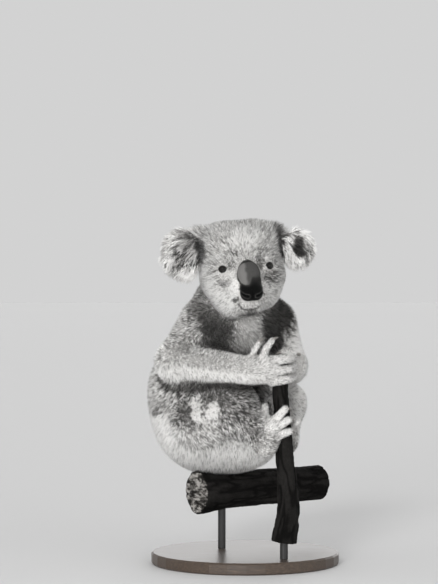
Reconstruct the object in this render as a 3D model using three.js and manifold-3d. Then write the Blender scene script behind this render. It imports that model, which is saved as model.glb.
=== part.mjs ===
// A life-size koala that sits on a short cut log and holds an upright branch, on a plain display stand.
// Millimetres, +Z up. The origin is the middle of the base's underside. The head looks along -Y, and the
// koala's left side is towards +X. Every solid of the body reaches out to the tips of the coat.
import * as THREE from "three";
import { mergeVertices } from "three/addons/utils/BufferGeometryUtils.js";
import Module from "manifold-3d";

const wasm = await Module();
wasm.setup();

const point = (x, y, z) => new THREE.Vector3(x, y, z);
const toRadians = THREE.MathUtils.degToRad;

// ---------------------------------------------------------------- driving dimensions

const SEAT = point(-6, 26, 134); // the koala's own origin, under its rump, from the middle of the base
const GAP = 0.4; // between two solids that meet
const EYE_GAP = 0.5; // between an eye and its socket, which are coarser balls

const BASE = { width: 290, depth: 230, height: 18, bevel: 2.5 };
const ROD = { radius: 6, sunk: 16, sides: 16 };

const LOG = { middle: point(-30, 2, -25), heading: 33, radius: 28, cutRadius: 34, near: 46, far: 190 };
const BRANCH_POINTS = [
  point(63, -100, -90),
  point(70, -100, -32),
  point(63, -100, 60),
  point(58, -100, 130),
  point(57, -100, 188),
];
const BRANCH_RADII = [19, 16.5, 13.5, 12.5, 12.5];

// The trunk's stack of rounded masses: middle, heading of the belly from -Y towards +X, and half sizes
// (across, front to back, height).
const SPINE = [
  { middle: point(6, -8, 61), heading: 0, half: [56, 60, 52] },
  { middle: point(-45, 2, 90), heading: 45, half: [92, 99, 91] },
  { middle: point(-54, 2, 135), heading: 42, half: [88, 97, 80] },
  { middle: point(-36, 0, 178), heading: 38, half: [83, 84, 70] },
  { middle: point(-14, -8, 220), heading: 32, half: [76, 74, 70] },
  { middle: point(-8, 4, 262), heading: 24, half: [66, 58, 46] },
];
const NECK = { ends: [point(-8, -2, 272), point(-2, -26, 304)], radii: [56, 54] };

// Head points are from the middle of the head. An ear's web is the muscle that fills the corner between it
// and the top of the skull.
const HEAD = { middle: point(0, -48, 322), yaw: 8, roll: -4.5 };
const EARS = {
  right: { middle: point(-86, 10, 28), half: [37, 13, 43], yaw: -14, web: [-56, 12, 43, [34, 15, 29]] },
  left: { middle: point(89, 12, 24), half: [36, 13, 34], yaw: 26, web: [52, 12, 43, [29, 15, 28]] },
};
const EAR_HOLLOW = { share: 0.62, depth: 9 };
const EYE = { middle: point(32.9, -40.4, -0.8), radius: 8.6 };
const NOSE_LEAN = -15;

const ARMS = {
  right: { joints: [point(-58, -34, 236), point(-99, -60, 178), point(8, -116, 168)], radii: [38, 31, 22] },
  left: { joints: [point(52, 24, 236), point(75, -12, 170), point(80, -52, 172)], radii: [38, 26, 19] },
};
const LEGS = {
  right: { joints: [point(-62, -66, 92), point(-14, -92, 110), point(34, -108, 66)], radii: [48, 40, 23] },
  left: { joints: [point(-6, 34, 82), point(66, -16, 112), point(66, -64, 62)], radii: [54, 34, 21] },
};

// The branch's axis and radius at a height, and a point beside it: `angle` goes round from +X towards +Y.
function branchAt(height) {
  const higher = BRANCH_POINTS.findIndex((p, n) => n > 0 && p.z >= height);
  const above = higher < 0 ? BRANCH_POINTS.length - 1 : higher;
  const [low, high] = [BRANCH_POINTS[above - 1], BRANCH_POINTS[above]];
  const t = (height - low.z) / (high.z - low.z);
  const radius = THREE.MathUtils.lerp(BRANCH_RADII[above - 1], BRANCH_RADII[above], t);
  return { axis: low.clone().lerp(high, t), radius };
}
function besideBranch(height, angle, clear) {
  const { axis, radius } = branchAt(height);
  const turn = toRadians(angle);
  return axis.add(point(Math.cos(turn), Math.sin(turn), 0).multiplyScalar(radius + clear));
}

// A digit is a path from its root to its tip, a radius, and the claw's own tip.
// This one curls round the branch, between two heights and two angles.
const GRIP = { clear: 1.05, clawSweep: 26, clawClear: 0.7, clawDrop: 4 };
function gripping(radius, [rootHeight, tipHeight], [rootAngle, tipAngle]) {
  const path = [0, 1, 2, 3].map((n) => {
    const height = THREE.MathUtils.lerp(rootHeight, tipHeight, n / 3);
    return besideBranch(height, THREE.MathUtils.lerp(rootAngle, tipAngle, n / 3), radius * GRIP.clear);
  });
  const onward = tipAngle + Math.sign(tipAngle - rootAngle) * (GRIP.clawSweep + radius * 2);
  return { path, radius, claw: besideBranch(tipHeight - GRIP.clawDrop, onward, radius * GRIP.clawClear) };
}
// This one stands free: three points, and a claw unless it is the inner toe.
const free = (radius, points, claw) => ({ path: points.map((p) => point(...p)), radius, claw });

const HANDS = {
  right: {
    palm: { middle: point(30, -120, 169), half: [26, 13, 22] },
    digits: {
      first: free(4.7, [[14, -118, 180], [18, -119, 197], [25, -118, 209]], point(33, -110, 216)),
      second: free(5.5, [[30, -121, 184], [36, -122, 201], [44, -120, 212]], point(54, -112, 216)),
      third: gripping(7.2, [182, 187], [-132, -16]),
      fourth: gripping(7.3, [166, 171], [-134, -14]),
      fifth: gripping(7, [152, 156], [-132, -26]),
    },
  },
  left: {
    palm: { middle: point(81, -67, 171), half: [14, 16, 20] },
    digits: {
      first: free(4.7, [[90, -62, 180], [91, -70, 187], [88, -78, 190]], point(82, -84, 190)),
      second: free(5.5, [[76, -60, 184], [70, -62, 192], [61, -68, 193]], point(52, -74, 189)),
      third: gripping(7, [181, 181], [66, 150]),
      fourth: gripping(7, [166, 166], [66, 150]),
      fifth: gripping(6.8, [152, 151], [66, 146]),
    },
  },
};
const FEET = {
  right: {
    sole: { ends: [point(35, -108, 58), point(43, -115, 84)], radii: [19, 15] },
    digits: {
      first: free(5.8, [[38, -112, 88], [34, -110, 102], [35, -106, 113]], null),
      second: gripping(6.6, [88, 110], [-140, -78]),
      fourth: gripping(6.8, [80, 94], [-140, -66]),
      fifth: gripping(6.4, [69, 77], [-140, -66]),
    },
  },
  left: {
    sole: { ends: [point(66, -64, 54), point(69, -71, 80)], radii: [18, 14] },
    digits: {
      first: free(5.8, [[74, -72, 82], [81, -80, 86], [83, -89, 88]], null),
      second: gripping(6.2, [88, 98], [74, 124]),
      fourth: gripping(6.4, [76, 82], [74, 124]),
      fifth: gripping(6, [64, 67], [74, 110]),
    },
  },
};

// ---------------------------------------------------------------- fields: how far a point is outside

const turned = (yaw, roll = 0, pitch = 0) =>
  new THREE.Quaternion().setFromEuler(
    new THREE.Euler(toRadians(pitch), toRadians(roll), toRadians(yaw), "ZYX"),
  );

// An ellipsoid with its half sizes along its own turned axes. In its core the distance is a plain one.
const CORE = 0.05;
function egg(middle, half, turn = new THREE.Quaternion()) {
  const back = turn.clone().invert();
  const local = new THREE.Vector3();
  const [a, b, c] = half;
  const smallest = Math.min(a, b, c);
  return (p) => {
    local.copy(p).sub(middle).applyQuaternion(back);
    const near = Math.hypot(local.x / a, local.y / b, local.z / c);
    const slope = Math.hypot(local.x / (a * a), local.y / (b * b), local.z / (c * c));
    return near < CORE ? (near - 1) * smallest : (near * (near - 1)) / slope;
  };
}

// A round bar whose radius goes evenly from one end to the other.
function taper([from, to], [startRadius, endRadius]) {
  const along = to.clone().sub(from);
  const lengthSq = along.lengthSq();
  const local = new THREE.Vector3();
  return (p) => {
    local.copy(p).sub(from);
    const t = THREE.MathUtils.clamp(local.dot(along) / lengthSq, 0, 1);
    return local.addScaledVector(along, -t).length() - startRadius - t * (endRadius - startRadius);
  };
}

// The smaller of two distances, rounded off by a parabola where they differ by less than `reach`.
function softMin(a, b, reach) {
  const near = Math.max(reach - Math.abs(a - b), 0) / reach;
  return Math.min(a, b) - (near * near * reach) / 4;
}

// The union of several shapes, with a fillet of about `reach` where they meet.
const blend = (reach, ...fields) => (p) =>
  fields.reduce((d, field) => softMin(d, field(p), reach), Infinity);
const union = (...fields) => (p) => Math.min(...fields.map((field) => field(p)));
const carved = (field, tool) => (p) => Math.max(field(p), -tool(p));
const chain = (points, radii) =>
  union(...points.slice(1).map((to, i) => taper([points[i], to], [radii[i], radii[i + 1]])));

// ---------------------------------------------------------------- head

// Head points: x to its left, y to the back, z up.
const headTurn = turned(HEAD.yaw, HEAD.roll);
const inHead = (x, y, z) => point(x, y, z).applyQuaternion(headTurn).add(HEAD.middle);
const headEgg = (x, y, z, half, turn = new THREE.Quaternion()) =>
  egg(inHead(x, y, z), half, headTurn.clone().multiply(turn));

function headField() {
  const cheeks = [-1, 1].flatMap((side) => [
    headEgg(side * 30, -6, -14, [37, 43, 38]),
    headEgg(side * 19, -17, -42, [34, 35, 27]),
  ]);
  const cranium = headEgg(0, 12, 20, [60, 60, 55]);
  const temples = [-1, 1].map((side) => headEgg(side * 29, 10, 33, [37, 42, 41]));
  const bridge = headEgg(0, -38, -6, [19, 27, 27]);
  const muzzle = headEgg(0, -46, -32, [29, 31, 28]);
  const chin = headEgg(0, -41, -56, [23, 26, 17]);
  const jowl = headEgg(-20, -22, -52, [24, 28, 25]);
  return blend(14, cranium, ...temples, ...cheeks, bridge, muzzle, chin, jowl);
}

// The bare leathery nose: a long pad from between the eyes down to the upper lip.
function noseField() {
  const lean = turned(0, 0, NOSE_LEAN);
  return blend(8, headEgg(0, -61, -13, [18, 12, 24], lean), headEgg(0, -68, -33, [17.3, 13, 15], lean));
}

const eyeMiddle = (side) => inHead(side * EYE.middle.x, EYE.middle.y, EYE.middle.z);

// A broad round ear on a short thick root, a little hollow in front.
function earField(side, { middle: { x, y, z }, half: [across, thick, high], yaw, web }) {
  const turn = turned(yaw);
  const front = point(0, -thick, 0).applyQuaternion(turn);
  const { share, depth } = EAR_HOLLOW;
  const disc = headEgg(x, y, z, [across, thick, high], turn);
  const hollow = headEgg(x + front.x, y + front.y, z + front.z, [across * share, depth, high * share], turn);
  const root = taper([inHead(side * 42, 10, 32), inHead(side * 66, 10, 34)], [26, 19]);
  return carved(blend(8, disc, root, headEgg(...web)), hollow);
}

// ---------------------------------------------------------------- the whole coat

const DIGIT_TAPER = [1.12, 0.85]; // a digit's radius at its root and at its tip, as shares of its own
const digitRadii = ({ path, radius }) =>
  path.map((_, n) => radius * THREE.MathUtils.lerp(...DIGIT_TAPER, n / (path.length - 1)));

function pawField(middle, digits) {
  const each = Object.values(digits).map((digit) => chain(digit.path, digitRadii(digit)));
  return union(...each.map((digit) => blend(7, middle, digit)));
}

const parts = {
  head: headField(),
  neck: taper(NECK.ends, NECK.radii),
  trunk: blend(26, ...SPINE.map(({ middle, heading, half }) => egg(middle, half, turned(heading)))),
};
for (const [side, sign] of [["right", -1], ["left", 1]]) {
  const { joints: arm, radii: armRadii } = ARMS[side];
  const { joints: leg, radii: legRadii } = LEGS[side];
  const { palm, digits: fingers } = HANDS[side];
  const { sole, digits: toes } = FEET[side];
  parts[`ear_${side}`] = earField(sign, EARS[side]);
  parts[`upper_arm_${side}`] = taper([arm[0], arm[1]], [armRadii[0], armRadii[1]]);
  parts[`forearm_${side}`] = taper([arm[1], arm[2]], [armRadii[1], armRadii[2]]);
  parts[`hand_${side}`] = pawField(egg(palm.middle, palm.half), fingers);
  parts[`thigh_${side}`] = taper([leg[0], leg[1]], [legRadii[0], legRadii[1]]);
  parts[`shin_${side}`] = taper([leg[1], leg[2]], [legRadii[1], legRadii[2]]);
  parts[`foot_${side}`] = pawField(taper(sole.ends, sole.radii), toes);
}

// What grows into what, and how wide the fillet is. Parts that only touch keep the crease between them.
const JOINS = [["trunk", "neck", 26], ["neck", "head", 16]];
for (const side of ["right", "left"])
  JOINS.push(
    ["head", `ear_${side}`, 6],
    ["trunk", `upper_arm_${side}`, 24],
    ["neck", `upper_arm_${side}`, 24],
    [`upper_arm_${side}`, `forearm_${side}`, 18],
    [`forearm_${side}`, `hand_${side}`, 12],
    ["trunk", `thigh_${side}`, 8],
    [`thigh_${side}`, `shin_${side}`, 18],
    [`shin_${side}`, `foot_${side}`, 12],
  );
const coat = union(...JOINS.map(([a, b, reach]) => blend(reach, parts[a], parts[b])));

// Two lengths of a limb are parted by the plane that halves their angle at the joint they share.
const bends = new Map();
function partAtJoint(first, second, before, joint, after) {
  const towards = after.clone().sub(joint).normalize().sub(before.clone().sub(joint).normalize()).normalize();
  const beyond = (p) => towards.dot(p) - towards.dot(joint);
  bends.set(`${first} ${second}`, beyond);
  bends.set(`${second} ${first}`, (p) => -beyond(p));
}
for (const side of ["right", "left"]) {
  const [shoulder, elbow, wrist] = ARMS[side].joints;
  const [hip, knee, ankle] = LEGS[side].joints;
  partAtJoint(`upper_arm_${side}`, `forearm_${side}`, shoulder, elbow, wrist);
  partAtJoint(`forearm_${side}`, `hand_${side}`, elbow, wrist, HANDS[side].palm.middle);
  partAtJoint(`thigh_${side}`, `shin_${side}`, hip, knee, ankle);
  partAtJoint(`shin_${side}`, `foot_${side}`, knee, ankle, FEET[side].sole.ends[1]);
}

// The space that belongs to one part rather than to those after it: the parts are cut out in order.
const REALM_BEYOND = 40; // how far it goes on outside the coat
const REALM_REACH = 44; // and how far outside the part's own shape, for the fillets
function realm(name) {
  const own = parts[name];
  const names = Object.keys(parts);
  const rules = names
    .slice(names.indexOf(name) + 1)
    .map((other) => bends.get(`${name} ${other}`) ?? ((p) => (own(p) - parts[other](p)) / 2));
  return (p) => Math.max(coat(p) - REALM_BEYOND, own(p) - REALM_REACH, ...rules.map((rule) => rule(p)));
}

// ---------------------------------------------------------------- from a field to a closed mesh

// The corners of a grid cell are numbered by their bits: 1 along x, 2 along y, 4 along z.
const CORNERS = [...Array(8).keys()].map((n) => point(n & 1, (n >> 1) & 1, n >> 2));
const EDGES = CORNERS.flatMap((_, a) => [1, 2, 4].filter((bit) => !(a & bit)).map((bit) => [a, a | bit]));
const edgeNumber = (a, b) => EDGES.findIndex(([from, to]) => from === a && to === b);
const FACES = [[1, 2, 4], [2, 4, 1], [4, 1, 2]].flatMap(([u, v, across]) =>
  [0, across].map((base) => [base, base | u, base | u | v, base | v]),
);

// The crossed edges of one cell, grouped into the separate sheets of surface that run through it.
function sheetsOf(inside, crossed) {
  const group = new Map(crossed.map((edge) => [edge, edge]));
  const join = (one, other) => {
    const [from, to] = [group.get(one), group.get(other)];
    for (const [edge, own] of group) if (own === from) group.set(edge, to);
  };
  for (const face of FACES) {
    const sides = face.map((corner, n) => {
      const next = face[(n + 1) % 4];
      return edgeNumber(Math.min(corner, next), Math.max(corner, next));
    });
    const cut = sides.filter((edge) => group.has(edge));
    if (cut.length === 2) join(...cut);
    if (cut.length === 4) face.forEach((corner, n) => inside[corner] && join(sides[n], sides[(n + 3) % 4]));
  }
  return Map.groupBy(crossed, (edge) => group.get(edge)).values();
}

// Moves a point on to the surface, by at most `most`.
const PROBE = 0.5;
const FLATTEST = 0.2; // the least slope, squared, that a move is worked out from
function settle(p, field, most) {
  const uphill = new THREE.Vector3();
  const probe = new THREE.Vector3();
  for (const axis of ["x", "y", "z"]) {
    const ahead = field(probe.copy(p).setComponent("xyz".indexOf(axis), p[axis] + PROBE));
    const behind = field(probe.copy(p).setComponent("xyz".indexOf(axis), p[axis] - PROBE));
    uphill[axis] = (ahead - behind) / (2 * PROBE);
  }
  const slopeSq = Math.max(uphill.lengthSq(), FLATTEST);
  p.addScaledVector(uphill.clone().multiplyScalar(-field(p) / slopeSq).clampLength(0, most), 1);
}

// One vertex for each sheet of surface in each grid cell, and one quad round each crossed grid edge.
function surfaceOf(field, box, cell) {
  const low = box.min.clone().subScalar(cell * 1.5);
  const size = box.max.clone().sub(low).divideScalar(cell).ceil().addScalar(3);
  const at = (i, j, k) => i + size.x * (j + size.y * k);
  const values = new Float64Array(size.x * size.y * size.z);
  const p = new THREE.Vector3();
  for (let k = 0; k < size.z; k++)
    for (let j = 0; j < size.y; j++)
      for (let i = 0; i < size.x; i++)
        values[at(i, j, k)] = field(p.set(i, j, k).multiplyScalar(cell).add(low));

  const positions = [];
  const vertexOf = new Map();
  for (let k = 0; k < size.z - 1; k++)
    for (let j = 0; j < size.y - 1; j++)
      for (let i = 0; i < size.x - 1; i++) {
        const v = CORNERS.map((c) => values[at(i + c.x, j + c.y, k + c.z)]);
        const inside = v.map((value) => value < 0);
        const crossed = [...EDGES.keys()].filter((n) => inside[EDGES[n][0]] !== inside[EDGES[n][1]]);
        if (!crossed.length) continue;
        for (const sheet of sheetsOf(inside, crossed)) {
          const sum = new THREE.Vector3();
          for (const n of sheet) {
            const [a, b] = EDGES[n];
            sum.add(p.lerpVectors(CORNERS[a], CORNERS[b], v[a] / (v[a] - v[b])));
            vertexOf.set(at(i, j, k) * EDGES.length + n, positions.length / 3);
          }
          sum.divideScalar(sheet.length).add(p.set(i, j, k)).multiplyScalar(cell).add(low);
          settle(sum, field, cell / 2);
          positions.push(sum.x, sum.y, sum.z);
        }
      }

  const steps = [at(1, 0, 0), at(0, 1, 0), at(0, 0, 1)];
  const index = [];
  for (let k = 1; k < size.z - 1; k++)
    for (let j = 1; j < size.y - 1; j++)
      for (let i = 1; i < size.x - 1; i++)
        for (let axis = 0; axis < 3; axis++) {
          const here = at(i, j, k);
          const isInside = values[here] < 0;
          if (isInside === values[here + steps[axis]] < 0) continue;
          const [u, w] = [(axis + 1) % 3, (axis + 2) % 3];
          const quad = [[1, 1], [0, 1], [0, 0], [1, 0]].map(([alongU, alongW]) => {
            const corner = alongU * (1 << u) + alongW * (1 << w);
            const owner = here - alongU * steps[u] - alongW * steps[w];
            return vertexOf.get(owner * EDGES.length + edgeNumber(corner, corner | (1 << axis)));
          });
          if (!isInside) quad.reverse();
          index.push(quad[0], quad[1], quad[2], quad[0], quad[2], quad[3]);
        }
  const geometry = new THREE.BufferGeometry();
  geometry.setAttribute("position", new THREE.Float32BufferAttribute(positions, 3));
  geometry.setIndex(index);
  return geometry;
}

const WHOLE = new THREE.Box3(point(-200, -190, -40), point(200, 150, 440));

// The box round a shape, found on a coarse grid.
const BOX_STEP = 8;
function boxOf(field, margin) {
  const box = new THREE.Box3();
  const p = new THREE.Vector3();
  for (let x = WHOLE.min.x; x <= WHOLE.max.x; x += BOX_STEP)
    for (let y = WHOLE.min.y; y <= WHOLE.max.y; y += BOX_STEP)
      for (let z = WHOLE.min.z; z <= WHOLE.max.z; z += BOX_STEP)
        if (field(p.set(x, y, z)) < BOX_STEP) box.expandByPoint(p);
  return box.expandByScalar(margin);
}

// ---------------------------------------------------------------- joins and cuts

const WELD = 1e-4; // vertices closer than this are one
function welded(geometry) {
  const bare = geometry.clone();
  bare.deleteAttribute("normal");
  bare.deleteAttribute("uv");
  const merged = mergeVertices(bare, WELD);
  const kept = [];
  for (let i = 0; i < merged.index.count; i += 3) {
    const [a, b, c] = [0, 1, 2].map((corner) => merged.index.getX(i + corner));
    if (a !== b && b !== c && c !== a) kept.push(a, b, c);
  }
  merged.setIndex(kept);
  return merged;
}

function solidOf(geometry) {
  const closed = welded(geometry);
  return new wasm.Manifold(
    new wasm.Mesh({
      numProp: 3,
      vertProperties: new Float32Array(closed.attributes.position.array),
      triVerts: new Uint32Array(closed.index.array),
    }),
  );
}

function geometryOf(solid) {
  const mesh = solid.getMesh();
  const geometry = new THREE.BufferGeometry();
  geometry.setAttribute("position", new THREE.Float32BufferAttribute(mesh.vertProperties, 3));
  geometry.setIndex(new THREE.BufferAttribute(mesh.triVerts, 1));
  return geometry;
}

// The same surface, moved outwards by `clear`.
function swollen(geometry, clear) {
  const closed = welded(geometry);
  closed.computeVertexNormals();
  const { position, normal } = closed.attributes;
  const p = new THREE.Vector3();
  const n = new THREE.Vector3();
  for (let i = 0; i < position.count; i++) {
    p.fromBufferAttribute(position, i).addScaledVector(n.fromBufferAttribute(normal, i), clear);
    position.setXYZ(i, p.x, p.y, p.z);
  }
  return closed;
}

const largest = (solid) =>
  solid.decompose().reduce((best, one) => (one.volume() > best.volume() ? one : best));

// ---------------------------------------------------------------- bars that follow a curve

// Bends a geometry of radius 1 that stands along Y, from -length / 2 to length / 2 and any round ends beyond,
// on to a curve, with a radius at each of the given points.
function bent(geometry, length, curve, radii, steps) {
  const frames = curve.computeFrenetFrames(steps);
  const { position } = geometry.attributes;
  const p = new THREE.Vector3();
  for (let i = 0; i < position.count; i++) {
    p.fromBufferAttribute(position, i);
    const t = THREE.MathUtils.clamp(p.y / length + 0.5, 0, 1);
    const beyond = p.y - (t - 0.5) * length;
    const frame = Math.round(t * steps);
    const stretch = t * (radii.length - 1);
    const before = Math.min(Math.floor(stretch), radii.length - 2);
    const radius = THREE.MathUtils.lerp(radii[before], radii[before + 1], stretch - before);
    const spot = curve.getPoint(t);
    spot.addScaledVector(frames.tangents[frame], beyond * radius);
    spot.addScaledVector(frames.normals[frame], p.x * radius);
    spot.addScaledVector(frames.binormals[frame], -p.z * radius);
    position.setXYZ(i, spot.x, spot.y, spot.z);
  }
  return geometry;
}

function bentBar(path, radii, { sides, steps, cap }) {
  const curve = new THREE.CatmullRomCurve3(path);
  const length = curve.getLength();
  return bent(new THREE.CapsuleGeometry(1, length, cap, sides, steps), length, curve, radii, steps);
}

// ---------------------------------------------------------------- materials

const finish = (color, roughness) => new THREE.MeshStandardMaterial({ color, roughness, metalness: 0 });
const MATERIALS = {
  coat: finish(0x8f8c88, 0.95),
  nose: finish(0x2a2826, 0.55),
  eye: finish(0x1c120c, 0.12),
  claw: finish(0x3a332c, 0.5),
  bark: finish(0x4a433c, 0.9),
  stand: finish(0x24211f, 0.5),
};

const koala = new THREE.Group();
koala.position.copy(SEAT);
const stand = new THREE.Group();

function place(group, name, geometry, material) {
  const flat = welded(geometry).toNonIndexed();
  flat.computeVertexNormals();
  const mesh = new THREE.Mesh(flat, material);
  mesh.name = name;
  group.add(mesh);
}

// ---------------------------------------------------------------- perch

const BRANCH_MESH = { sides: 12, steps: 8 };
function branchGeometry() {
  const curve = new THREE.CatmullRomCurve3(BRANCH_POINTS);
  const length = curve.getLength();
  const { sides, steps } = BRANCH_MESH;
  return bent(new THREE.CylinderGeometry(1, 1, length, sides, steps), length, curve, BRANCH_RADII, steps);
}
const branch = solidOf(branchGeometry());
const branchRoom = solidOf(swollen(branchGeometry(), GAP));

const LOG_SIDES = 20;
function logGeometry(extra) {
  const profile = [
    [0, -LOG.near - extra],
    [LOG.cutRadius + extra, -LOG.near - extra],
    [LOG.radius + extra, -LOG.near + LOG.radius],
    [LOG.radius + extra, LOG.far + extra],
    [0, LOG.far + extra],
  ];
  const lathe = new THREE.LatheGeometry(profile.map(([r, y]) => new THREE.Vector2(r, y)), LOG_SIDES);
  lathe.rotateZ(-Math.PI / 2).rotateZ(toRadians(LOG.heading));
  return lathe.translate(LOG.middle.x, LOG.middle.y, LOG.middle.z);
}
const logRoom = solidOf(logGeometry(GAP));

// ---------------------------------------------------------------- flesh

const CELLS = { head: 15.5, neck: 28, trunk: 30, ear: 11.5, upper: 24, forearm: 21, thigh: 24, shin: 22 };
const REALM_CELL = 40;
const FLESH_REACH = 26; // how far a part's mesh goes on into its neighbours before it is cut
const kindOf = (name) => name.split("_")[0];

const DIGIT_MESH = { sides: 5, steps: 2, cap: 1 };
const digitBar = (digit) => solidOf(bentBar(digit.path, digitRadii(digit), DIGIT_MESH));

const PALM_MESH = [9, 6];
function eggGeometry({ middle, half }) {
  return new THREE.SphereGeometry(1, ...PALM_MESH).scale(...half).translate(middle.x, middle.y, middle.z);
}

const STEM_MESH = { sides: 7, steps: 1, cap: 1 };
function handSolid(side) {
  const { palm, digits } = HANDS[side];
  const { joints, radii } = ARMS[side];
  const wrist = bentBar([joints[2], palm.middle], [radii[2], palm.half[1]], STEM_MESH);
  const middle = solidOf(eggGeometry(palm)).add(solidOf(wrist));
  return Object.values(digits).reduce((whole, digit) => whole.add(digitBar(digit)), middle);
}
function footSolid(side) {
  const { sole, digits } = FEET[side];
  const { joints, radii } = LEGS[side];
  const ankle = bentBar([joints[2], sole.ends[0]], [radii[2], sole.radii[0]], STEM_MESH);
  const middle = solidOf(bentBar(sole.ends, sole.radii, STEM_MESH)).add(solidOf(ankle));
  return Object.values(digits).reduce((whole, digit) => whole.add(digitBar(digit)), middle);
}

const eyes = { right: eyeMiddle(-1), left: eyeMiddle(1) };
const EYE_MESH = [10, 6];
const eyeGeometry = (centre, radius) =>
  new THREE.SphereGeometry(radius, ...EYE_MESH).translate(centre.x, centre.y, centre.z);
const NOSE_CELL = 8;
const noseBox = boxOf(noseField(), NOSE_CELL / 2);
const noseGeometry = () => surfaceOf(noseField(), noseBox, NOSE_CELL);

// A part before it is cut to its own space. Paws are made of bars, and the rest are cut from the coat.
const PAWS = { hand: handSolid, foot: footSolid };
function fleshSolid(name, box) {
  const kind = kindOf(name);
  if (PAWS[kind]) return PAWS[kind](name.split("_").pop());
  const nearby = (p) => Math.max(coat(p), parts[name](p) - FLESH_REACH);
  return solidOf(surfaceOf(nearby, box, CELLS[kind]));
}

// The sockets of the eyes and the pocket of the nose.
function faceRooms() {
  const sockets = Object.values(eyes).map((centre) => eyeGeometry(centre, EYE.radius + EYE_GAP));
  return [...sockets, swollen(noseGeometry(), GAP)].map(solidOf);
}

const rooms = [branchRoom, logRoom];
for (const name of Object.keys(parts)) {
  const box = boxOf(parts[name], REALM_REACH + REALM_CELL);
  const realmGeometry = surfaceOf(realm(name), box, REALM_CELL);
  const cutters = name === "head" ? [...rooms, ...faceRooms()] : rooms;
  const whole = fleshSolid(name, box).intersect(solidOf(realmGeometry));
  const solid = cutters.reduce((left, room) => left.subtract(room), whole);
  place(koala, name, geometryOf(largest(solid)), MATERIALS.coat);
  rooms.push(solidOf(swollen(realmGeometry, GAP)));
}
place(koala, "nose", noseGeometry(), MATERIALS.nose);
for (const [side, centre] of Object.entries(eyes))
  place(koala, `eye_${side}`, eyeGeometry(centre, EYE.radius), MATERIALS.eye);

// ---------------------------------------------------------------- claws

// A claw starts just beyond the round tip of its digit, whose radius there is a share of its own.
const CLAW = { radii: [2.6, 2, 0.5], bulge: 2, mesh: { sides: 5, steps: 2, cap: 1 } };

for (const [limb, all] of [["hand", HANDS], ["foot", FEET]])
  for (const [side, { digits }] of Object.entries(all))
    for (const [name, { path, claw, radius }] of Object.entries(digits)) {
      if (!claw) continue;
      const [knuckle, tip] = path.slice(-2);
      const out = tip.clone().sub(knuckle).normalize();
      const start = tip.clone().addScaledVector(out, radius * DIGIT_TAPER[1] + CLAW.radii[0] + GAP);
      const middle = start.clone().lerp(claw, 0.5).addScaledVector(out, CLAW.bulge);
      const geometry = bentBar([start, middle, claw], CLAW.radii, CLAW.mesh);
      place(koala, `claw_${limb}_${side}_${name}`, geometry, MATERIALS.claw);
    }

// ---------------------------------------------------------------- stand

const rodFeet = {
  log: LOG.middle.clone().setZ(0).add(SEAT).setZ(BASE.height),
  branch: BRANCH_POINTS[0].clone().setZ(0).add(SEAT).setZ(BASE.height),
};

function rodGeometry(foot, top, extra) {
  const height = top - foot.z;
  const radius = ROD.radius + extra;
  const rod = new THREE.CylinderGeometry(radius, radius, height, ROD.sides);
  rod.rotateX(Math.PI / 2).translate(foot.x, foot.y, foot.z + height / 2);
  return rod;
}
const rodTops = {
  log: SEAT.z + LOG.middle.z - LOG.radius + ROD.sunk,
  branch: SEAT.z + BRANCH_POINTS[0].z + ROD.sunk,
};
function boreOf(which) {
  const bore = rodGeometry(rodFeet[which], rodTops[which] + GAP, GAP);
  return solidOf(bore.translate(-SEAT.x, -SEAT.y, -SEAT.z));
}
place(koala, "perch_log", geometryOf(solidOf(logGeometry(0)).subtract(boreOf("log"))), MATERIALS.bark);
place(koala, "perch_branch", geometryOf(branch.subtract(boreOf("branch"))), MATERIALS.bark);

const BASE_SIDES = 32;
const rim = new THREE.EllipseCurve(0, 0, BASE.width / 2 - BASE.bevel, BASE.depth / 2 - BASE.bevel);
const plate = new THREE.Shape(rim.getPoints(BASE_SIDES).slice(0, BASE_SIDES));
const base = new THREE.ExtrudeGeometry(plate, {
  depth: BASE.height - 2 * BASE.bevel,
  bevelThickness: BASE.bevel,
  bevelSize: BASE.bevel,
  bevelSegments: 1,
});
place(stand, "stand_base", base.translate(0, 0, BASE.bevel), MATERIALS.stand);
Object.keys(rodFeet).forEach((which, i) => {
  const foot = rodFeet[which].clone().add(point(0, 0, GAP));
  place(stand, `stand_rod_${i + 1}`, rodGeometry(foot, rodTops[which], 0), MATERIALS.stand);
});

const model = new THREE.Group();
model.add(stand, koala);
export default model;
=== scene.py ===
"""A life-size koala that sits on a cut log and holds a branch: its skin, coat, bark and stand."""

import math
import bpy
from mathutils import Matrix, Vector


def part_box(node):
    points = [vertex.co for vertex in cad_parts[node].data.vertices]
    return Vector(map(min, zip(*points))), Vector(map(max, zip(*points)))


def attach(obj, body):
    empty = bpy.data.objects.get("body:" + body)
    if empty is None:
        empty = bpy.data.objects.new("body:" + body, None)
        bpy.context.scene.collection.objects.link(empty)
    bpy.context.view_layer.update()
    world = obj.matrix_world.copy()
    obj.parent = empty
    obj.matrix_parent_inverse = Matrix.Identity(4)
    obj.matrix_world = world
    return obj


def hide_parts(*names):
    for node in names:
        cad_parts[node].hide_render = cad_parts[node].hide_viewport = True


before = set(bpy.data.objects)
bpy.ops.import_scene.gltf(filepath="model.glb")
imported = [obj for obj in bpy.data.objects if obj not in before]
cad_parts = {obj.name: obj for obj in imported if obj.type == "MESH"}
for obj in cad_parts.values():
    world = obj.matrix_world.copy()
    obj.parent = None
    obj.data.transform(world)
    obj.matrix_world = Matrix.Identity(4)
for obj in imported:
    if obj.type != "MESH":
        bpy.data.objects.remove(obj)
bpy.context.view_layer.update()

from types import SimpleNamespace

import bmesh
import bpy
import numpy as np
from mathutils import Matrix, Vector

# ---------------------------------------------------------------- units and driving dimensions

# Lengths are in millimetres from the seat, the koala's own origin under its rump. A mesh is turned into
# metres in the frame when it is made. +X is the koala's left, and it looks along -Y.
MM = 0.001
TINY = 1e-6
SEED = 20


def point(*xyz):
    return np.array(xyz, float)


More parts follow.
